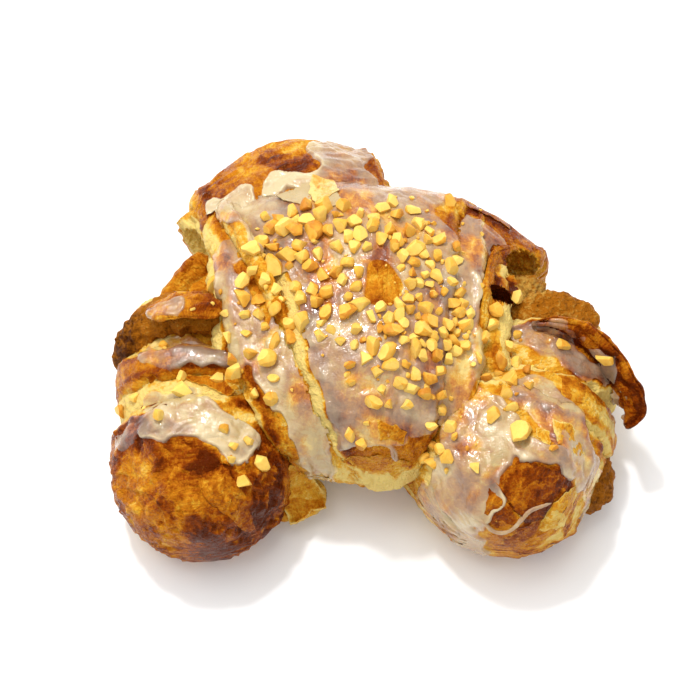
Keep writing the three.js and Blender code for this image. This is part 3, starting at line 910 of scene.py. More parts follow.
NUT_PATCHES = [
    NutPatch("top of the heap", (-13, 22), (17, 7), -14, 34, 3.3, 1.05),
    NutPatch("left of the heap", (-25, 6), (11, 15), 0, 38, 3.6, 1.05),
    NutPatch("middle of the heap", (-6, -2), (12, 12), 0, 42, 3.2, 0.95),
    NutPatch("right of the heap", (12, -2), (11, 13), 15, 90, 2.6, 0.82),
    NutPatch("upper right of the heap", (12, 14), (9, 8), 0, 22, 3.2, 0.95),
    NutPatch("back of the heap", (4, 24), (8, 8), 0, 12, 3.8, 1.1),
    NutPatch("low on the tongue", (4, -20), (12, 7), 0, 24, 3.2, 0.85),
    NutPatch("left strip", (-32, -10), (6, 14), 25, 13, 4.4, 1.05),
    NutPatch("right root", (29, -6), (8, 9), -15, 12, 4.0, 0.9),
    NutPatch("crack", (15, -32), (4, 7), 0, 14, 2.8, 0.85),
]
# Nuts that lie alone: their place in plan and their size.
LONE_NUTS = [
    (-56, -5, 1.1), (-51, -14, 1.1), (-50, -19, 1.2), (-63, -18, 0.8), (-55, -26, 0.8), (-30, -37, 1.5),
    (-34, -42, 1.15), (-28, -50, 0.7), (-37, -34, 0.7), (-33, -32, 0.9), (-37, -37.5, 0.9), (-39, -30, 0.7),
    (-41, -14, 1.1), (-67, -19, 0.9), (34, -32, 1.3), (28, -27, 0.95), (43, -36, 0.6), (34, -17, 1.0),
    (24, -40, 0.6), (33, -25, 0.9), (58.5, -8.5, 0.95), (47, -5, 0.95), (31, -10, 1.0), (38, -13, 0.7),
    (27, -16, 1.0), (33, -6, 1.0), (36, -2, 0.9), (32, -21, 1.0), (38, -19, 0.8), (-2, -26, 0.9),
    (-7, -32, 0.85), (-4, -34, 1.1), (19, 34.5, 0.9), (27, 25, 0.6), (36, 10, 0.8), (37, 15, 0.6),
    (27, 35, 0.6), (-43, 10, 1.2),
]
BARE_OF_NUTS = [((1, 4), 6.5), ((-3, -22), 3.5), ((-24, 34), 6), ((-15, 35), 5)]  # places, and how far round
NUT_SEED = 41
TRIES = 80  # how often a place is sought for each nut
CRUMBS = 150  # loose bits of nut among the pieces
CRUMB_SHARE = 0.26  # their size as a part of a nut's
CRUMB_SPREAD = 4.0  # how far they lie from a nut
CRUMB_CUTS = 3
NUT_CUTS = (5, 10)
NUT_SPREAD = (0.97, 0.18)  # mean and deviation of the sizes
NUT_STRETCH = ((1.1, 1.55), (0.85, 1.15), (0.75, 1.0))
CUT_DEPTH = (0.2, 0.36)  # how far from its middle a nut is cut, as a part of its size
NUT_BEVEL = 0.045
NUT_TIP = 0.25  # how unevenly a nut lies
NUT_SUNK = (0.1, 0.24)  # how far its middle stands above the ground, as a part of its size
TOAST = (1.7, 3.0)  # shape of the spread of browning
SHARP_ANGLE = 0.4


def nut_places(draw):
    """Spots and sizes for the nuts in plan, no two in a patch closer than it says."""
    spots = [(x, y, size) for x, y, size in LONE_NUTS]
    for patch in NUT_PATCHES:
        turn = math.radians(patch.yaw)
        wanted = patch.count
        for _ in range(TRIES * patch.count):
            angle, reach = draw.uniform(0, 2 * math.pi), math.sqrt(draw.uniform())
            a, b = patch.radii[0] * reach * math.cos(angle), patch.radii[1] * reach * math.sin(angle)
            x = patch.at[0] + a * math.cos(turn) - b * math.sin(turn)
            y = patch.at[1] + a * math.sin(turn) + b * math.cos(turn)
            clear = all(math.hypot(x - other[0], y - other[1]) >= patch.apart for other in spots)
            if clear and all(math.dist((x, y), bare) > radius for bare, radius in BARE_OF_NUTS):
                spots.append((x, y, patch.size))
                wanted -= 1
            if not wanted:
                break
    return spots


def chopped_nut(size, cuts, draw):
    """One piece of nut about its own middle: its points, its triangles and which of them are cut faces."""
    lump = bmesh.new()
    bmesh.ops.create_icosphere(lump, subdivisions=2, radius=size / 2)
    stretch = Vector([draw.uniform(*limits) for limits in NUT_STRETCH])
    offset = draw.uniform(0, 90)
    points = np.array([vertex.co for vertex in lump.verts])
    swell = 1 + 0.14 * layered_noise(points / size * 3.0 + offset, 2, 5)
    for vertex, k in zip(lump.verts, swell):
        vertex.co = vertex.co * stretch * float(k)
    fresh = lump.faces.layers.int.new("fresh")
    for _ in range(cuts):
        normal = Vector(draw.normal(size=3)).normalized()
        everything = lump.verts[:] + lump.edges[:] + lump.faces[:]
        cut = bmesh.ops.bisect_plane(lump, geom=everything, plane_co=normal * size * draw.uniform(*CUT_DEPTH),
                                     plane_no=normal, clear_outer=True)
        rim = [edge for edge in cut["geom_cut"] if isinstance(edge, bmesh.types.BMEdge)]
        for face in bmesh.ops.edgeloop_fill(lump, edges=rim)["faces"]:
            face[fresh] = 1
    sharp = [edge for edge in lump.edges if edge.is_manifold and edge.calc_face_angle() > SHARP_ANGLE]
    bmesh.ops.bevel(lump, geom=sharp, offset=size * NUT_BEVEL, segments=2, profile=0.6, affect="EDGES",
                    clamp_overlap=True)
    bmesh.ops.triangulate(lump, faces=lump.faces[:])
    lump.verts.index_update()
    points = np.array([vertex.co for vertex in lump.verts])
    faces = np.array([[vertex.index for vertex in face.verts] for face in lump.faces])
    marks = np.array([float(face[fresh]) for face in lump.faces])
    lump.free()
    return points, faces, marks


def turned(points, normal, draw):
    """Points spun about Z, laid along a surface normal and tipped a little."""
    spin = draw.uniform(0, 2 * math.pi)
    c, s = math.cos(spin), math.sin(spin)
    points = points @ np.array([[c, s, 0], [-s, c, 0], [0, 0, 1.0]])
    tip = Vector(normal) + Vector(draw.normal(size=3)) * NUT_TIP
    turn = np.array(tip.to_track_quat("Z", "Y").to_matrix())
    return points @ turn.T


def drop_to(trees, x, y):
    """The highest place and normal under a spot in plan, or nothing."""
    start = Vector((np.array([x, y, 90.0]) - FOOTPRINT_CENTRE) * MM)
    hits = [tree.ray_cast(start, Vector((0, 0, -1))) for tree in trees]
    hits = [hit for hit in hits if hit[0] is not None]
    if not hits:
        return None
    where, normal, _, _ = max(hits, key=lambda hit: hit[0].z)
    return np.array(where) / MM + FOOTPRINT_CENTRE, np.array(normal)


def nuts_object(grounds, spots, sizes, draw):
    """All the nuts and their crumbs as one mesh, lying on the glazed dough."""
    graph = bpy.context.evaluated_depsgraph_get()
    trees = [BVHTree.FromObject(ground, graph) for ground in grounds]
    ceiling = CAD_BOX[1][2] / MM + MOST_ABOVE_CAD
    middling = sizes.nut / MM
    lots = [((x, y), middling * size * float(np.clip(draw.normal(*NUT_SPREAD), 0.6, 1.3)),
             int(draw.integers(*NUT_CUTS))) for x, y, size in spots]
    for _ in range(CRUMBS):
        near = spots[int(draw.integers(len(spots)))]
        spot = (near[0] + draw.normal() * CRUMB_SPREAD, near[1] + draw.normal() * CRUMB_SPREAD)
        lots.append((spot, middling * CRUMB_SHARE * draw.uniform(0.6, 1.5), CRUMB_CUTS))
    points, faces, toast, fresh = [], [], [], []
    count = 0
    for (x, y), size, cuts in lots:
        landing = drop_to(trees, x, y)
        if landing is None:
            continue
        where, normal = landing
        shape, triangles, marks = chopped_nut(size, cuts, draw)
        shape = turned(shape, normal, draw) + where + normal * size * draw.uniform(*NUT_SUNK)
        shape[:, 2] -= max(0.0, shape[:, 2].max() - ceiling)
        points.append(shape)
        faces += (triangles + count).tolist()
        fresh.append(marks)
        toast.append(np.full(len(triangles), draw.beta(*TOAST)))
        count += len(shape)
    return new_mesh_object("nuts", np.concatenate(points), faces,
                           face_attributes={"toast": np.concatenate(toast), "fresh": np.concatenate(fresh)})


# ---- Torn flakes ----------------------------------------------------------------------------------

@dataclass
class Flake:
    """A torn sheet of crust lying on the dough, by the corners of its outline in plan."""

    corners: tuple
    bake: float
    rim: float = 0.15  # how pale its torn edge is
    lift: float = 0.4
    thick: float = 1.3
    curl: float = 0.0  # how far its first corner stands up
    milk: float = 0.0  # how milky the glaze on it is


FLAKES = [
    # The brown plate of the right horn, the layers round it and the plates on its right.
    Flake(((28.6, -43.3), (32.2, -40.7), (36.2, -39.5), (42, -40.6), (47.4, -41.7), (43.9, -46.6),
           (41.7, -50), (36.7, -52.3), (33, -49.2)), 0.78, 0.0, 0.8, 1.8),
    Flake(((27.3, -44.9), (33, -49.2), (36.7, -52.3), (33.2, -54), (30.1, -54.3), (25.5, -51.4)), 0.6),
    Flake(((32.4, -53.6), (36.8, -52.6), (41.2, -49.5), (40, -51.5), (37.8, -54.4), (35, -54.8),
           (31.6, -54.4)), 0.66),
    Flake(((43.5, -27.9), (48.2, -28.2), (52, -32.8), (51.9, -35.9), (48.9, -36.1), (44.2, -33.4)),
          0.36, 0.7),
    Flake(((39.3, -29.9), (42.5, -30.9), (42.7, -34.9), (40.9, -34.4), (39.2, -31.9)), 0.36, 0.5),
    Flake(((43, -47.8), (47.8, -44.1), (51, -40.4), (49, -46), (47.2, -50), (44.5, -52), (40, -52.6),
           (40.4, -51.5)), 0.3, 0.6),
    # The left horn: its side, the fold across its end and the torn edge of its ring.
    Flake(((-61, -20.5), (-54.3, -20.9), (-53.6, -23.2), (-60.5, -22.8)), 0.72, 0.0),
    Flake(((-45.6, -42.9), (-38.9, -38.7), (-33.1, -46.1), (-31.4, -51), (-34.5, -52), (-38.7, -49.5),
           (-43.3, -47.1)), 0.6, 0.0, 0.3),
    Flake(((-39.5, -36.7), (-36.6, -34.9), (-34.8, -36.2), (-35.9, -38.6), (-38.8, -38.5)), 0.45, lift=0.6),
    Flake(((-23, -34), (-18, -33.5), (-14.6, -36), (-14, -40.5), (-17.5, -40.6), (-20, -43.2), (-23.5, -43.6),
           (-25.5, -40)), 0.4, 0.6, 0.3),
    Flake(((-50.5, -13.8), (-44, -13.8), (-39, -15.8), (-36.5, -18.6), (-38.7, -19.8), (-43.8, -17.2),
           (-49, -15.4)), 0.62, 0.8, 0.7),
    # Layers at the lower end of the tongue.
    Flake(((-0.6, -30), (7, -31.4), (6.3, -33.8), (0, -34)), 0.5, 0.4, 0.7),
    Flake(((-9.8, -34.7), (-4.1, -36.2), (4.2, -36.6), (8.4, -36.6), (4.2, -38.6), (-2.8, -38.2)), 0.42, 0.4),
    # The flaky edge of the right lobe.
    Flake(((24, 38), (31, 36), (36, 33), (35, 30.5), (29, 33), (23, 35.5)), 0.66, lift=0.7),
]
# Pale sheets under the glaze on top of the tongue.
GLAZED_FLAKES = [
    Flake(((-27.8, 34.2), (-22.4, 36.6), (-20.4, 39.6), (-17.6, 38.6), (-16.9, 35.3), (-18.8, 29.2),
           (-24.2, 31.8)), 0.0, lift=0.7, thick=0.5, curl=1.6, milk=0.7),
    Flake(((-17.7, 40.5), (-12.2, 39.1), (-10.4, 34.3), (-13.4, 31.8), (-16, 28.8), (-18.5, 33.7)), 0.06,
          lift=1.0, thick=0.5, curl=1.4, milk=0.1),
    Flake(((-16.7, 29.2), (-14.8, 32.7), (-10.7, 33.6), (-10, 29.2), (-13.3, 27.7)), 0.0, lift=0.9, thick=0.5,
          milk=0.7),
]
FLAKE_RINGS = 13
FLAKE_AROUND = 56
FLAKE_RAGGED = 0.5  # how far the torn outline of a flake strays
FLAKE_LOWEST = 0.4  # how far a flake keeps above the table
FLAKE_EVEN = 0.7  # how far it bridges the bumps under it
FLAKE_GROUND = 1.5  # ground further than this from the even ground is left out
FLAKE_RUMPLE = 0.2


def ragged_outline(corners, seed):
    """Evenly spaced points round an outline in plan, moved a little by noise."""
    loop = np.array(corners + corners[:1], float)
    along = np.concatenate([[0], np.cumsum(np.linalg.norm(np.diff(loop, axis=0), axis=1))])
    t = np.linspace(0, along[-1], FLAKE_AROUND, endpoint=False)
    points = np.stack([np.interp(t, along, loop[:, k]) for k in (0, 1)], axis=-1)
    place = np.column_stack([points / 1.3, np.full(len(points), 9.0 * seed)])
    stray = [layered_noise(place + 40 * k, 2, 90) for k in (0, 1)]
    return points + FLAKE_RAGGED * np.stack(stray, axis=-1)


def even_ground(tree, x, y):
    """Heights of the dough under places in plan, and the same heights with its bumps evened out."""
    landed = [drop_to([tree], px, py) for px, py in zip(x.ravel(), y.ravel())]
    z = np.array([np.nan if landing is None else landing[0][2] for landing in landed])
    dx, dy = x.ravel() - x.mean(), y.ravel() - y.mean()
    terms = np.stack([np.ones_like(dx), dx, dy, dx * dx, dx * dy, dy * dy], axis=-1)
    kept = ~np.isnan(z)
    for _ in range(3):
        even = terms @ np.linalg.lstsq(terms[kept], z[kept], rcond=None)[0]
        kept = np.abs(np.nan_to_num(z, nan=OUTSIDE) - even) < FLAKE_GROUND
    return np.where(kept, z, even).reshape(x.shape), even.reshape(x.shape)


def flakes_object(name, flakes, ground):
    """Flakes of crust as one mesh that follows the dough under it."""
    tree = BVHTree.FromObject(ground, bpy.context.evaluated_depsgraph_get())
    points, faces, values = [], [], []
    count = 0
    for k, flake in enumerate(flakes):
        outline = ragged_outline(flake.corners, k)
        centre = outline.mean(axis=0)
        reach = np.linspace(0.04, 1, FLAKE_RINGS)[:, None, None]
        x, y = np.moveaxis(centre + reach * (outline - centre), -1, 0)
        z, even = even_ground(tree, x, y)
        top = np.maximum(mix(z, even, FLAKE_EVEN) + flake.lift, z + 0.2)
        first = np.array(flake.corners[0]) - centre
        towards = ((x - centre[0]) * first[0] + (y - centre[1]) * first[1]) / (first @ first)
        top = top + flake.curl * np.maximum(0, towards) ** 2
        top = top + FLAKE_RUMPLE * layered_noise(np.stack([x, y, top], axis=-1) / 1.4, 2, 95)
        sheet = np.stack([x, y, top], axis=-1)
        under = sheet - np.array([0, 0, flake.thick])
        rings = np.concatenate([sheet, under[::-1]]).reshape(-1, 3)
        rings[:, 2] = np.maximum(rings[:, 2], FLAKE_LOWEST)
        edge = np.concatenate([smooth(0.86, 1.0, reach) * np.ones(x.shape + (1,)),
                               np.ones(x.shape + (1,))]).ravel()
        bake = flake.bake + 0.25 * layered_noise(rings / 4.0, 3, 97 + k) + 0.08 * edge
        points.append(rings)
        faces += [[index + count for index in face] for face in faces_of_rings(2 * FLAKE_RINGS, FLAKE_AROUND)]
        values.append(np.stack([bake, flake.rim * edge, np.full(len(rings), flake.milk)]))
        count += len(rings)
    points, (bake, cut, milk) = np.concatenate(points), np.concatenate(values, axis=1)
    return new_mesh_object(name, points, faces, {
        "bake": bake, "cut": cut, "rolled": points, "milk": milk})


# A thin run of glaze across the right horn: its path in plan.
DRIZZLE = ((22, -49.6), (25.5, -51.6), (29, -53.2), (32, -53.4), (34.5, -52.2), (37, -50.2), (40, -48.8),
           (43, -47.6))
DRIZZLE_WIDE = 1.25
DRIZZLE_THICK = 0.7
DRIZZLE_RISE = 0.15  # how far its middle stands above the ground
DRIZZLE_GRID = (70, 14)  # steps along it and round it
DRIZZLE_LUMPS = (0.12, 1.2)  # height and size
DRIZZLE_MILK = 0.75


def drizzle_object(grounds):
    """A thin run of glaze that lies on the plates of the right horn."""
    graph = bpy.context.evaluated_depsgraph_get()
    trees = [BVHTree.FromObject(ground, graph) for ground in grounds]
    path = [drop_to(trees, x, y)[0] + np.array([0, 0, DRIZZLE_RISE]) for x, y in DRIZZLE]
    strip = Strip("glaze_drizzle", path, DRIZZLE_WIDE, DRIZZLE_THICK, (0, 0.8, 0.6))
    points = strip_rings(strip, *DRIZZLE_GRID, *DRIZZLE_LUMPS, 64).reshape(-1, 3)
    ones = np.ones(len(points))
    return new_mesh_object(strip.name, points, faces_of_rings(*DRIZZLE_GRID), {
        "bake": 0.5 * ones, "cut": 0 * ones, "rolled": points, "milk": DRIZZLE_MILK * ones})


# ---- Filling --------------------------------------------------------------------------------------

FILLING = [
    Strip("core", ((-47, -26, 18), (-46, 0, 20), (-26, 16, 22), (4, 16, 22), (32, 6, 20), (43, -12, 17),
                   (52, -28, 13)), 20, 12, (0, 0, 1)),
    Strip("left crust", ((-66, -4, 6), (-66, 0, 20), (-58, 4, 31), (-47, 4, 36), (-38, 3, 31), (-32, 6, 24)),
          11, 11, (0, 1, 0)),
    Strip("left web", ((-66, 0, 14), (-48, 2, 18), (-36, 0, 20)), 24, 9, (0, 0, 1)),
    Strip("right slab", ((36, 6, 29), (46, 7, 30), (58, 4, 27)), 11, 8, (0, 1, 0.2)),
    Strip("right slab foot", ((40, 0, 12), (43, 4, 22), (46, 6, 29)), 12, 9, (1, 0, 0)),
    Strip("right crust", ((44, -18, 12), (54, -24, 11), (56, -33, 10), (55, -41, 7)), 13, 12, (0, 0, 1)),
    Strip("pocket crumbs", ((27, 5, 21), (37, 14, 24), (44, 18, 25)), 11, 8, (0, 0, 1)),
]
FILLING_STEP = 0.6
FILLING_LUMPS = 1.3
FILLING_LUMP_SIZE = 2.6
BURNT = marks({
    "": [
        (0.35, 4, (-68, -8), (-66, 2)), (0.1, 3, (-60, -4), (-44, -3)), (0.3, 2.5, (50, 0), (62, -1)),
        (-0.2, 7, (37, 14), (45, 18))],
})


def filling_object():
    """The filling as one crumbly body."""
    parts = []
    for k, strip in enumerate(FILLING):
        length = np.linalg.norm(np.diff(np.array(strip.path, float), axis=0), axis=1).sum()
        steps = int(length / FILLING_STEP)
        around = int(math.pi * (strip.wide + strip.thick) / 2 / FILLING_STEP)
        lumps = 0.0 if strip.name == "core" else FILLING_LUMPS
        rings = strip_rings(strip, steps, around, lumps, FILLING_LUMP_SIZE, 80 + k)
        parts.append(new_mesh_object(strip.name, rings.reshape(-1, 3), faces_of_rings(steps, around)))
    body = apply_boolean(parts[0], parts[1:], "UNION")
    points = mesh_points(body.data)
    burnt = sum(mark.value * smooth(-2, 3, mark.reach(points, None)) for mark in BURNT)
    # The filling is also coloured darker towards the bottom.
    set_mesh_values(body.data, "burnt", burnt + 0.12 * smooth(30, 12, points[:, 2]))
    body.name = body.data.name = "filling_crumb"
    return body


# ---- Materials ------------------------------------------------------------------------------------

def node(tree, kind, inputs=(), **settings):
    """A shader node with its settings, whose inputs are values or other nodes' outputs."""
    made = tree.nodes.new("ShaderNode" + kind)
    for name, value in settings.items():
        setattr(made, name, value)
    for key, value in dict(inputs).items():
        if isinstance(value, bpy.types.NodeSocket):
            tree.links.new(value, made.inputs[key])
        else:
            made.inputs[key].default_value = value
    return made


def calc(tree, operation, a, b=0.0, c=0.0, clamp=False):
    """The output of a Math node."""
    made = node(tree, "Math", {0: a, 1: b, 2: c}, operation=operation)
    made.use_clamp = clamp
    return made.outputs[0]


def sway(tree, value, amount):
    """A noise value from 0 to 1 as a change of up to half an amount either way."""
    return calc(tree, "MULTIPLY_ADD", value, amount, -amount / 2)


def total(tree, first, *others):
    """The sum of several values."""
    for other in others:
        first = calc(tree, "ADD", first, other)
    return first


def weighted(tree, *terms):
    """Values times their weights."""
    return [calc(tree, "MULTIPLY", value, weight) for value, weight in terms]


def attribute(tree, name, output="Fac"):
    """A mesh attribute as a shader value."""
    return node(tree, "Attribute", attribute_name=name).outputs[output]


def grain(tree, vector, scale, detail=3.0, rough=0.6, bend=0.0):
    """Noise from 0 to 1 along a vector."""
    return node(tree, "TexNoise", {"Vector": vector, "Scale": scale, "Detail": detail, "Roughness": rough,
                                   "Distortion": bend}).outputs["Fac"]


def ramp(tree, value, stops):
    """A colour for each of several values, with smooth changes between them."""
    made = node(tree, "ValToRGB", {"Fac": value})
    elements = made.color_ramp.elements
    while len(elements) < len(stops):
        elements.new(0.5)
    for element, (place, shade) in zip(elements, stops):
        element.position = place
        element.color = (*shade, 1.0)
    return made.outputs["Color"]


def blend(tree, factor, under, over):
    """A colour laid over another as far as a factor says."""
    return node(tree, "Mix", {0: factor, 6: under, 7: (*over, 1.0)}, data_type="RGBA").outputs[2]


def bumped(tree, height, strength, distance):
    """The normal of a surface with fine relief."""
    made = node(tree, "Bump", {"Strength": strength, "Distance": distance, "Height": height})
    return made.outputs["Normal"]


def new_finish(name):
    """An empty node material, its tree and its Principled shader."""
    material = bpy.data.materials.new(name)
    material.use_nodes = True
    tree = material.node_tree
    return material, tree, tree.nodes["Principled BSDF"]


def fill_sockets(shader, **values):
    """Sets or links the sockets of a shader by name, with spaces written as underscores."""
    for key, value in values.items():
        socket = shader.inputs[key.replace("_", " ")]
        if isinstance(value, bpy.types.NodeSocket):
            shader.id_data.links.new(value, socket)
        else:
            socket.default_value = value


def crust_colour(tree, colours):
    """The crust's colour from its bake, its torn edges and its grain, and the height of its fine relief."""
    place = node(tree, "TexCoord").outputs["Object"]
    rolled = node(tree, "Mapping", {"Vector": attribute(tree, "rolled", "Vector"),
                                    "Scale": (0.8, 0.2, 1.0)}).outputs["Vector"]
    mottle = grain(tree, place, 105.0, 4.0, 0.6, 0.6)
    speckle = grain(tree, place, 520.0, 4.0, 0.65)
    lines = grain(tree, place, 230.0, 3.0, 0.6, 1.2)
    lines = calc(tree, "ABSOLUTE", calc(tree, "SUBTRACT", lines, 0.5))
    veins = calc(tree, "MULTIPLY_ADD", lines, -22.0, 1.0, clamp=True)
    fleck = grain(tree, place, 1700.0, 2.0, 0.6)
    streaks = grain(tree, rolled, 1.0, 4.0, 0.7, 0.8)
    stray = node(tree, "TexNoise", {"Vector": place, "Scale": 260.0, "Detail": 4.0}).outputs["Color"]
    bent = node(tree, "VectorMath", {0: stray, 1: (0.007, 0.007, 0.007), 2: place},
                operation="MULTIPLY_ADD").outputs["Vector"]
    cells = node(tree, "TexVoronoi", {"Vector": bent, "Scale": 190.0})
    plate = node(tree, "SeparateColor", {"Color": cells.outputs["Color"]}).outputs["Red"]
    rim = node(tree, "TexVoronoi", {"Vector": bent, "Scale": 190.0}, feature="DISTANCE_TO_EDGE")
    rim = calc(tree, "MULTIPLY_ADD", rim.outputs["Distance"], -10.0, 1.0, clamp=True)
    blisters = node(tree, "TexVoronoi", {"Vector": bent, "Scale": 760.0},
                    feature="SMOOTH_F1").outputs["Distance"]
    swayed = [sway(tree, value, amount) for value, amount in (
        (mottle, 1.0), (streaks, 0.65), (speckle, 0.4), (fleck, 0.25), (plate, 0.26))]
    level = total(tree, attribute(tree, "bake"), *swayed,
                  *weighted(tree, (rim, -0.08), (veins, -0.12), (attribute(tree, "cut"), -0.65)))
    shade = ramp(tree, level, [
        (0.0, colours.crumb), (0.22, colours.golden), (0.45, colours.orange), (0.76, colours.brown),
        (1.0, colours.dark)])
    height = total(tree, *weighted(tree, (streaks, 0.5), (speckle, 0.9), (mottle, 0.8), (plate, 0.3),
                                   (blisters, -0.5), (fleck, 0.3), (veins, 0.12)))
    return shade, level, height


def dough_finish(colours):
    """Baked dough: streaked and mottled, with a faint shine."""
    material, tree, shader = new_finish("baked dough")
    shade, level, height = crust_colour(tree, colours)
    wet = grain(tree, node(tree, "TexCoord").outputs["Object"], 240.0, 3.0)
    rough = total(tree, calc(tree, "MULTIPLY_ADD", level, -0.3, 0.44), sway(tree, wet, 0.5))
    fill_sockets(shader, Base_Color=shade, Roughness=rough, Normal=bumped(tree, height, 0.8, 0.0011), IOR=1.4,
                 Specular_IOR_Level=0.24, Specular_Tint=(1.0, 0.52, 0.1, 1.0), Subsurface_Weight=0.1,
                 Subsurface_Radius=(0.003, 0.0015, 0.0005), Subsurface_Scale=0.4)
    return material


def glaze_finish(colours):
    """Sugar glaze: a glossy veil over the crust that turns milky where it is thick."""
    material, tree, shader = new_finish("sugar glaze")
    shade, _, height = crust_colour(tree, colours)
    place = node(tree, "TexCoord").outputs["Object"]
    cloud = grain(tree, place, 330.0, 4.0, 0.65, 0.5)
    pools = grain(tree, place, 100.0, 3.0, 0.5, 0.8)
    milk = attribute(tree, "milk")
    uneven = calc(tree, "MULTIPLY", total(tree, sway(tree, cloud, 0.6), sway(tree, pools, 0.8)),
                  calc(tree, "MULTIPLY", milk, 4.0, clamp=True))
    milk = total(tree, milk, uneven)
    film = node(tree, "MapRange", {0: milk, 1: 0.05, 2: 0.55, 3: 0.08, 4: 0.68},
                interpolation_type="SMOOTHSTEP").outputs["Result"]
    thick = node(tree, "MapRange", {0: milk, 1: 0.55, 2: 1.2},
                 interpolation_type="SMOOTHSTEP").outputs["Result"]
    shade = blend(tree, film, shade, colours.veil)
    shade = blend(tree, thick, shade, colours.milk)
    ripple = total(tree, cloud, calc(tree, "MULTIPLY", height, 0.35))
    fill_sockets(shader, Base_Color=shade, Roughness=0.11, Normal=bumped(tree, ripple, 0.45, 0.0011),
                 IOR=1.46, Coat_Weight=0.5, Coat_Roughness=0.05, Subsurface_Weight=0.15,
                 Subsurface_Radius=(0.003, 0.002, 0.0012), Subsurface_Scale=0.4)
    return material


def nut_finish(colours):
    """Chopped nuts: pale chopped faces, toasted outsides and a few brown spots."""
    material, tree, shader = new_finish("chopped nuts")
    place = node(tree, "TexCoord").outputs["Object"]
    mottle = grain(tree, place, 420.0, 4.0)
    pores = grain(tree, place, 1500.0, 3.0)
    level = total(tree, attribute(tree, "toast"), sway(tree, mottle, 1.0),
                  calc(tree, "MULTIPLY_ADD", attribute(tree, "fresh"), -0.42, 0.34))
    shade = ramp(tree, level, [(0.05, colours.nut), (0.7, colours.toasted), (1.0, colours.skin)])
    height = total(tree, mottle, calc(tree, "MULTIPLY", pores, 0.5))
    fill_sockets(shader, Base_Color=shade, Roughness=0.45, Normal=bumped(tree, height, 0.5, 0.0004), IOR=1.45,
                 Specular_IOR_Level=0.3, Specular_Tint=(1.0, 0.8, 0.45, 1.0), Subsurface_Weight=0.15,
                 Subsurface_Radius=(0.002, 0.0012, 0.0004), Subsurface_Scale=0.4)
    return material


def filling_finish(colours):
    """Baked filling: dark, crumbly and speckled."""
    material, tree, shader = new_finish("baked filling")
    place = node(tree, "TexCoord").outputs["Object"]
    broad = grain(tree, place, 110.0, 3.0)
    crumbs = grain(tree, place, 330.0, 5.0, 0.7, 0.5)
    fine = grain(tree, place, 1000.0, 3.0, 0.7)
    level = total(tree, 0.56, sway(tree, broad, 0.6), sway(tree, crumbs, 1.0), sway(tree, fine, 0.8))
    baked = calc(tree, "SUBTRACT", level, attribute(tree, "burnt"))
    shade = ramp(tree, baked, [(0.14, colours.filling_dark), (0.5, colours.filling),
                               (0.62, colours.filling), (0.84, colours.filling_light)])
    fill_sockets(shader, Base_Color=shade, Roughness=0.65, Normal=bumped(tree, level, 1.0, 0.0018), IOR=1.4,
                 Specular_IOR_Level=0.3, Specular_Tint=(1.0, 0.62, 0.25, 1.0))
    return material


# ---- Operators ------------------------------------------------------------------------------------

def finish_piece(made, material, replaces=None):
    """Gives a piece its material and its place in the record."""
    made.data.materials.clear()
    made.data.materials.append(material)
    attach(made, "root")
    if replaces:
        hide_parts(replaces)


def piece(name):
    """A piece made before, which the caller needs."""
    made = bpy.data.objects.get(name)
    if made is None:
        raise RuntimeError(f"{name} has to be made first")
    return made


class PASTRY_OT_dough(bpy.types.Operator):
    """Build the rolled dough as one crust"""

    bl_idname = "pastry.dough"
    bl_label = "Dough"

    def execute(self, context):
        sizes, colours = context.scene.pastry_sizes, context.scene.pastry_colours
        parts = [wrap_object(wrap, sizes, 3 + k) for k, wrap in enumerate(WRAPS)]
        parts += [flap_object(flap, 30 + k) for k, flap in enumerate(FLAPS)]
        crust = apply_boolean(parts[0], parts[1:], "UNION")
        crust = apply_boolean(crust, [hollow_object(h, 50 + k) for k, h in enumerate(HOLLOWS)], "DIFFERENCE")
        crust.name = crust.data.name = "dough_crust"
        mend_joined_points(crust)
        crust.data.attributes.remove(crust.data.attributes["rest"])
        shade_by_angle(crust, 55)
        finish_piece(crust, dough_finish(colours), "dough")
        return {"FINISHED"}


class PASTRY_OT_filling(bpy.types.Operator):
    """Build the crumbly filling"""

    bl_idname = "pastry.filling"
    bl_label = "Filling"

    def execute(self, context):
        body = filling_object()
        shade_by_angle(body, 60)
        finish_piece(body, filling_finish(context.scene.pastry_colours), "filling")
        return {"FINISHED"}


class PASTRY_OT_glaze(bpy.types.Operator):
    """Pour the sugar glaze over the dough"""

    bl_idname = "pastry.glaze"
    bl_label = "Glaze"

    def execute(self, context):
        spots = nut_places(np.random.default_rng(NUT_SEED))
        skin = glaze_object(piece("dough_crust"), spots, context.scene.pastry_sizes)
        skin.data.shade_smooth()
        finish_piece(skin, glaze_finish(context.scene.pastry_colours))
        return {"FINISHED"}


class PASTRY_OT_flakes(bpy.types.Operator):
    """Lay the torn flakes on the crust, some of them glazed"""

    bl_idname = "pastry.flakes"
    bl_label = "Torn flakes"

    def execute(self, context):
        crust, colours = piece("dough_crust"), context.scene.pastry_colours
        for name, flakes, finish in (("loose_flakes", FLAKES, dough_finish),
                                     ("glazed_flakes", GLAZED_FLAKES, glaze_finish)):
            made = flakes_object(name, flakes, crust)
            shade_by_angle(made, 50)
            finish_piece(made, finish(colours))
        return {"FINISHED"}


class PASTRY_OT_drizzle(bpy.types.Operator):
    """Run a thin line of glaze over the plates of the right horn"""

    bl_idname = "pastry.drizzle"
    bl_label = "Drizzle"

    def execute(self, context):
        made = drizzle_object([piece("dough_crust"), piece("glaze"), piece("loose_flakes")])
        made.data.shade_smooth()
        finish_piece(made, glaze_finish(context.scene.pastry_colours))
        return {"FINISHED"}


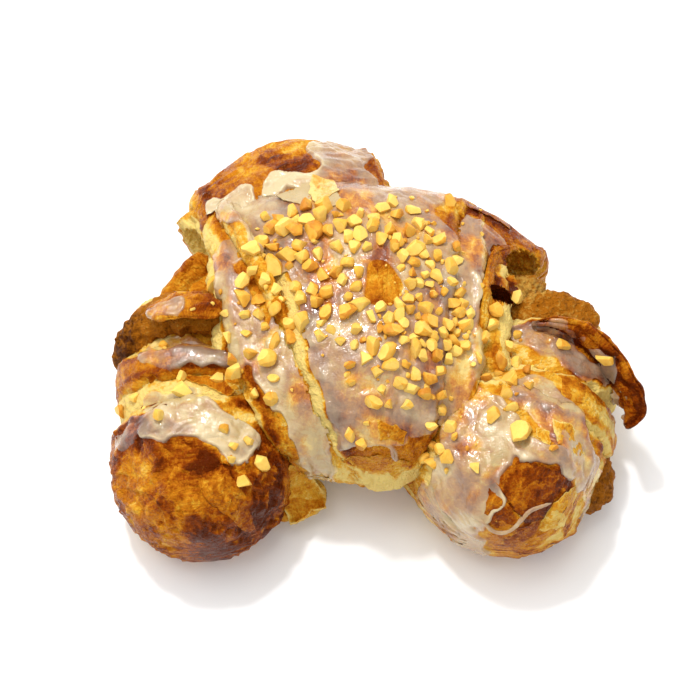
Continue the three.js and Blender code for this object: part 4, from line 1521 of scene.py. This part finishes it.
class PASTRY_OT_nuts(bpy.types.Operator):
    """Scatter the chopped nuts on the glaze"""

    bl_idname = "pastry.nuts"
    bl_label = "Chopped nuts"

    def execute(self, context):
        draw = np.random.default_rng(NUT_SEED)
        spots = nut_places(draw)
        grounds = [piece(name) for name in ("dough_crust", "glaze", "loose_flakes", "glazed_flakes")]
        made = nuts_object(grounds, spots, context.scene.pastry_sizes, draw)
        shade_by_angle(made, 35)
        finish_piece(made, nut_finish(context.scene.pastry_colours))
        return {"FINISHED"}


class PASTRY_OT_stage(bpy.types.Operator):
    """Set up the floor, the light and the camera"""

    bl_idname = "pastry.stage"
    bl_label = "Stage"

    ELEVATION = 65.0
    LENS = 85.0
    DISTANCE = 0.4419
    AIM = (0.0, 0.0, 22.0)  # in the pastry's own plan
    AIM_PIXEL = (379.0, 349.0)
    FRAME = 700.0
    FLOOR_REACH = 2000.0
    AMBIENT = 0.78
    LIGHTS = (  # name, place in metres, size and power
        ("key", (-0.22, 0.2, 0.86), 0.7, 4.1), ("sparkle", (-0.16, 0.26, 0.75), 0.07, 3.4))

    def execute(self, context):
        scene = context.scene
        corners = np.array([(-1, -1, 0), (1, -1, 0), (1, 1, 0), (-1, 1, 0)]) * self.FLOOR_REACH
        floor = new_mesh_object("floor", corners, [[0, 1, 2, 3]])
        material, tree, shader = new_finish("pale floor")
        cloud = grain(tree, node(tree, "TexCoord").outputs["Object"], 3.0)
        shade = ramp(tree, cloud, [(0.3, (0.94, 0.94, 0.94)), (0.7, (0.95, 0.95, 0.95))])
        fill_sockets(shader, Base_Color=shade, Roughness=0.9, Specular_IOR_Level=0.0)
        floor.data.materials.append(material)

        world = bpy.data.worlds.new("studio")
        world.use_nodes = True
        sky = world.node_tree.nodes["Background"].inputs
        sky["Color"].default_value = (1.0, 1.0, 1.0, 1.0)
        sky["Strength"].default_value = self.AMBIENT
        scene.world = world
        scene.view_settings.view_transform = "Standard"
        for lamp in self.LIGHTS:
            self.light(*lamp)

        camera = bpy.data.objects.new("camera", bpy.data.cameras.new("camera"))
        scene.collection.objects.link(camera)
        rise = math.radians(self.ELEVATION)
        aim = (np.array(self.AIM) - FOOTPRINT_CENTRE) * MM
        back = np.array([0.0, -math.cos(rise), math.sin(rise)])
        camera.location = aim + back * self.DISTANCE
        camera.rotation_euler = (math.pi / 2 - rise, 0.0, 0.0)
        camera.data.lens = self.LENS
        camera.data.shift_x = (self.FRAME / 2 - self.AIM_PIXEL[0]) / self.FRAME
        camera.data.shift_y = (self.AIM_PIXEL[1] - self.FRAME / 2) / self.FRAME
        camera.data.clip_start = 0.01
        scene.camera = camera
        return {"FINISHED"}

    @staticmethod
    def light(name, place, size, power):
        """A square soft light that faces the pastry."""
        lamp = bpy.data.objects.new(name, bpy.data.lights.new(name, "AREA"))
        lamp.data.size = size
        lamp.data.energy = power
        lamp.location = place
        lamp.rotation_euler = (-Vector(place)).to_track_quat("-Z", "Y").to_euler()
        bpy.context.scene.collection.objects.link(lamp)


class PASTRY_PT_panel(bpy.types.Panel):
    """The pastry's steps and settings"""

    bl_label = "Crescent pastry"
    bl_idname = "PASTRY_PT_panel"
    bl_space_type = "VIEW_3D"
    bl_region_type = "UI"
    bl_category = "Pastry"

    def draw(self, context):
        for step in STEPS:
            self.layout.operator(step.bl_idname)
        for group in (context.scene.pastry_sizes, context.scene.pastry_colours):
            for key in group.__annotations__:
                self.layout.prop(group, key)


STEPS = (PASTRY_OT_dough, PASTRY_OT_filling, PASTRY_OT_glaze, PASTRY_OT_flakes, PASTRY_OT_drizzle,
         PASTRY_OT_nuts, PASTRY_OT_stage)
CLASSES = (PastrySizes, PastryColours, *STEPS, PASTRY_PT_panel)


def register():
    """Register the add-on's classes and settings."""
    for cls in CLASSES:
        bpy.utils.register_class(cls)
    bpy.types.Scene.pastry_sizes = bpy.props.PointerProperty(type=PastrySizes)
    bpy.types.Scene.pastry_colours = bpy.props.PointerProperty(type=PastryColours)


def unregister():
    """Take the add-on's classes and settings away again."""
    del bpy.types.Scene.pastry_colours
    del bpy.types.Scene.pastry_sizes
    for cls in reversed(CLASSES):
        bpy.utils.unregister_class(cls)


def main():
    register()
    bpy.ops.pastry.dough()
    bpy.ops.pastry.filling()
    bpy.ops.pastry.glaze()
    bpy.ops.pastry.flakes()
    bpy.ops.pastry.drizzle()
    bpy.ops.pastry.nuts()
    bpy.ops.pastry.stage()


if __name__ == "__main__":
    main()
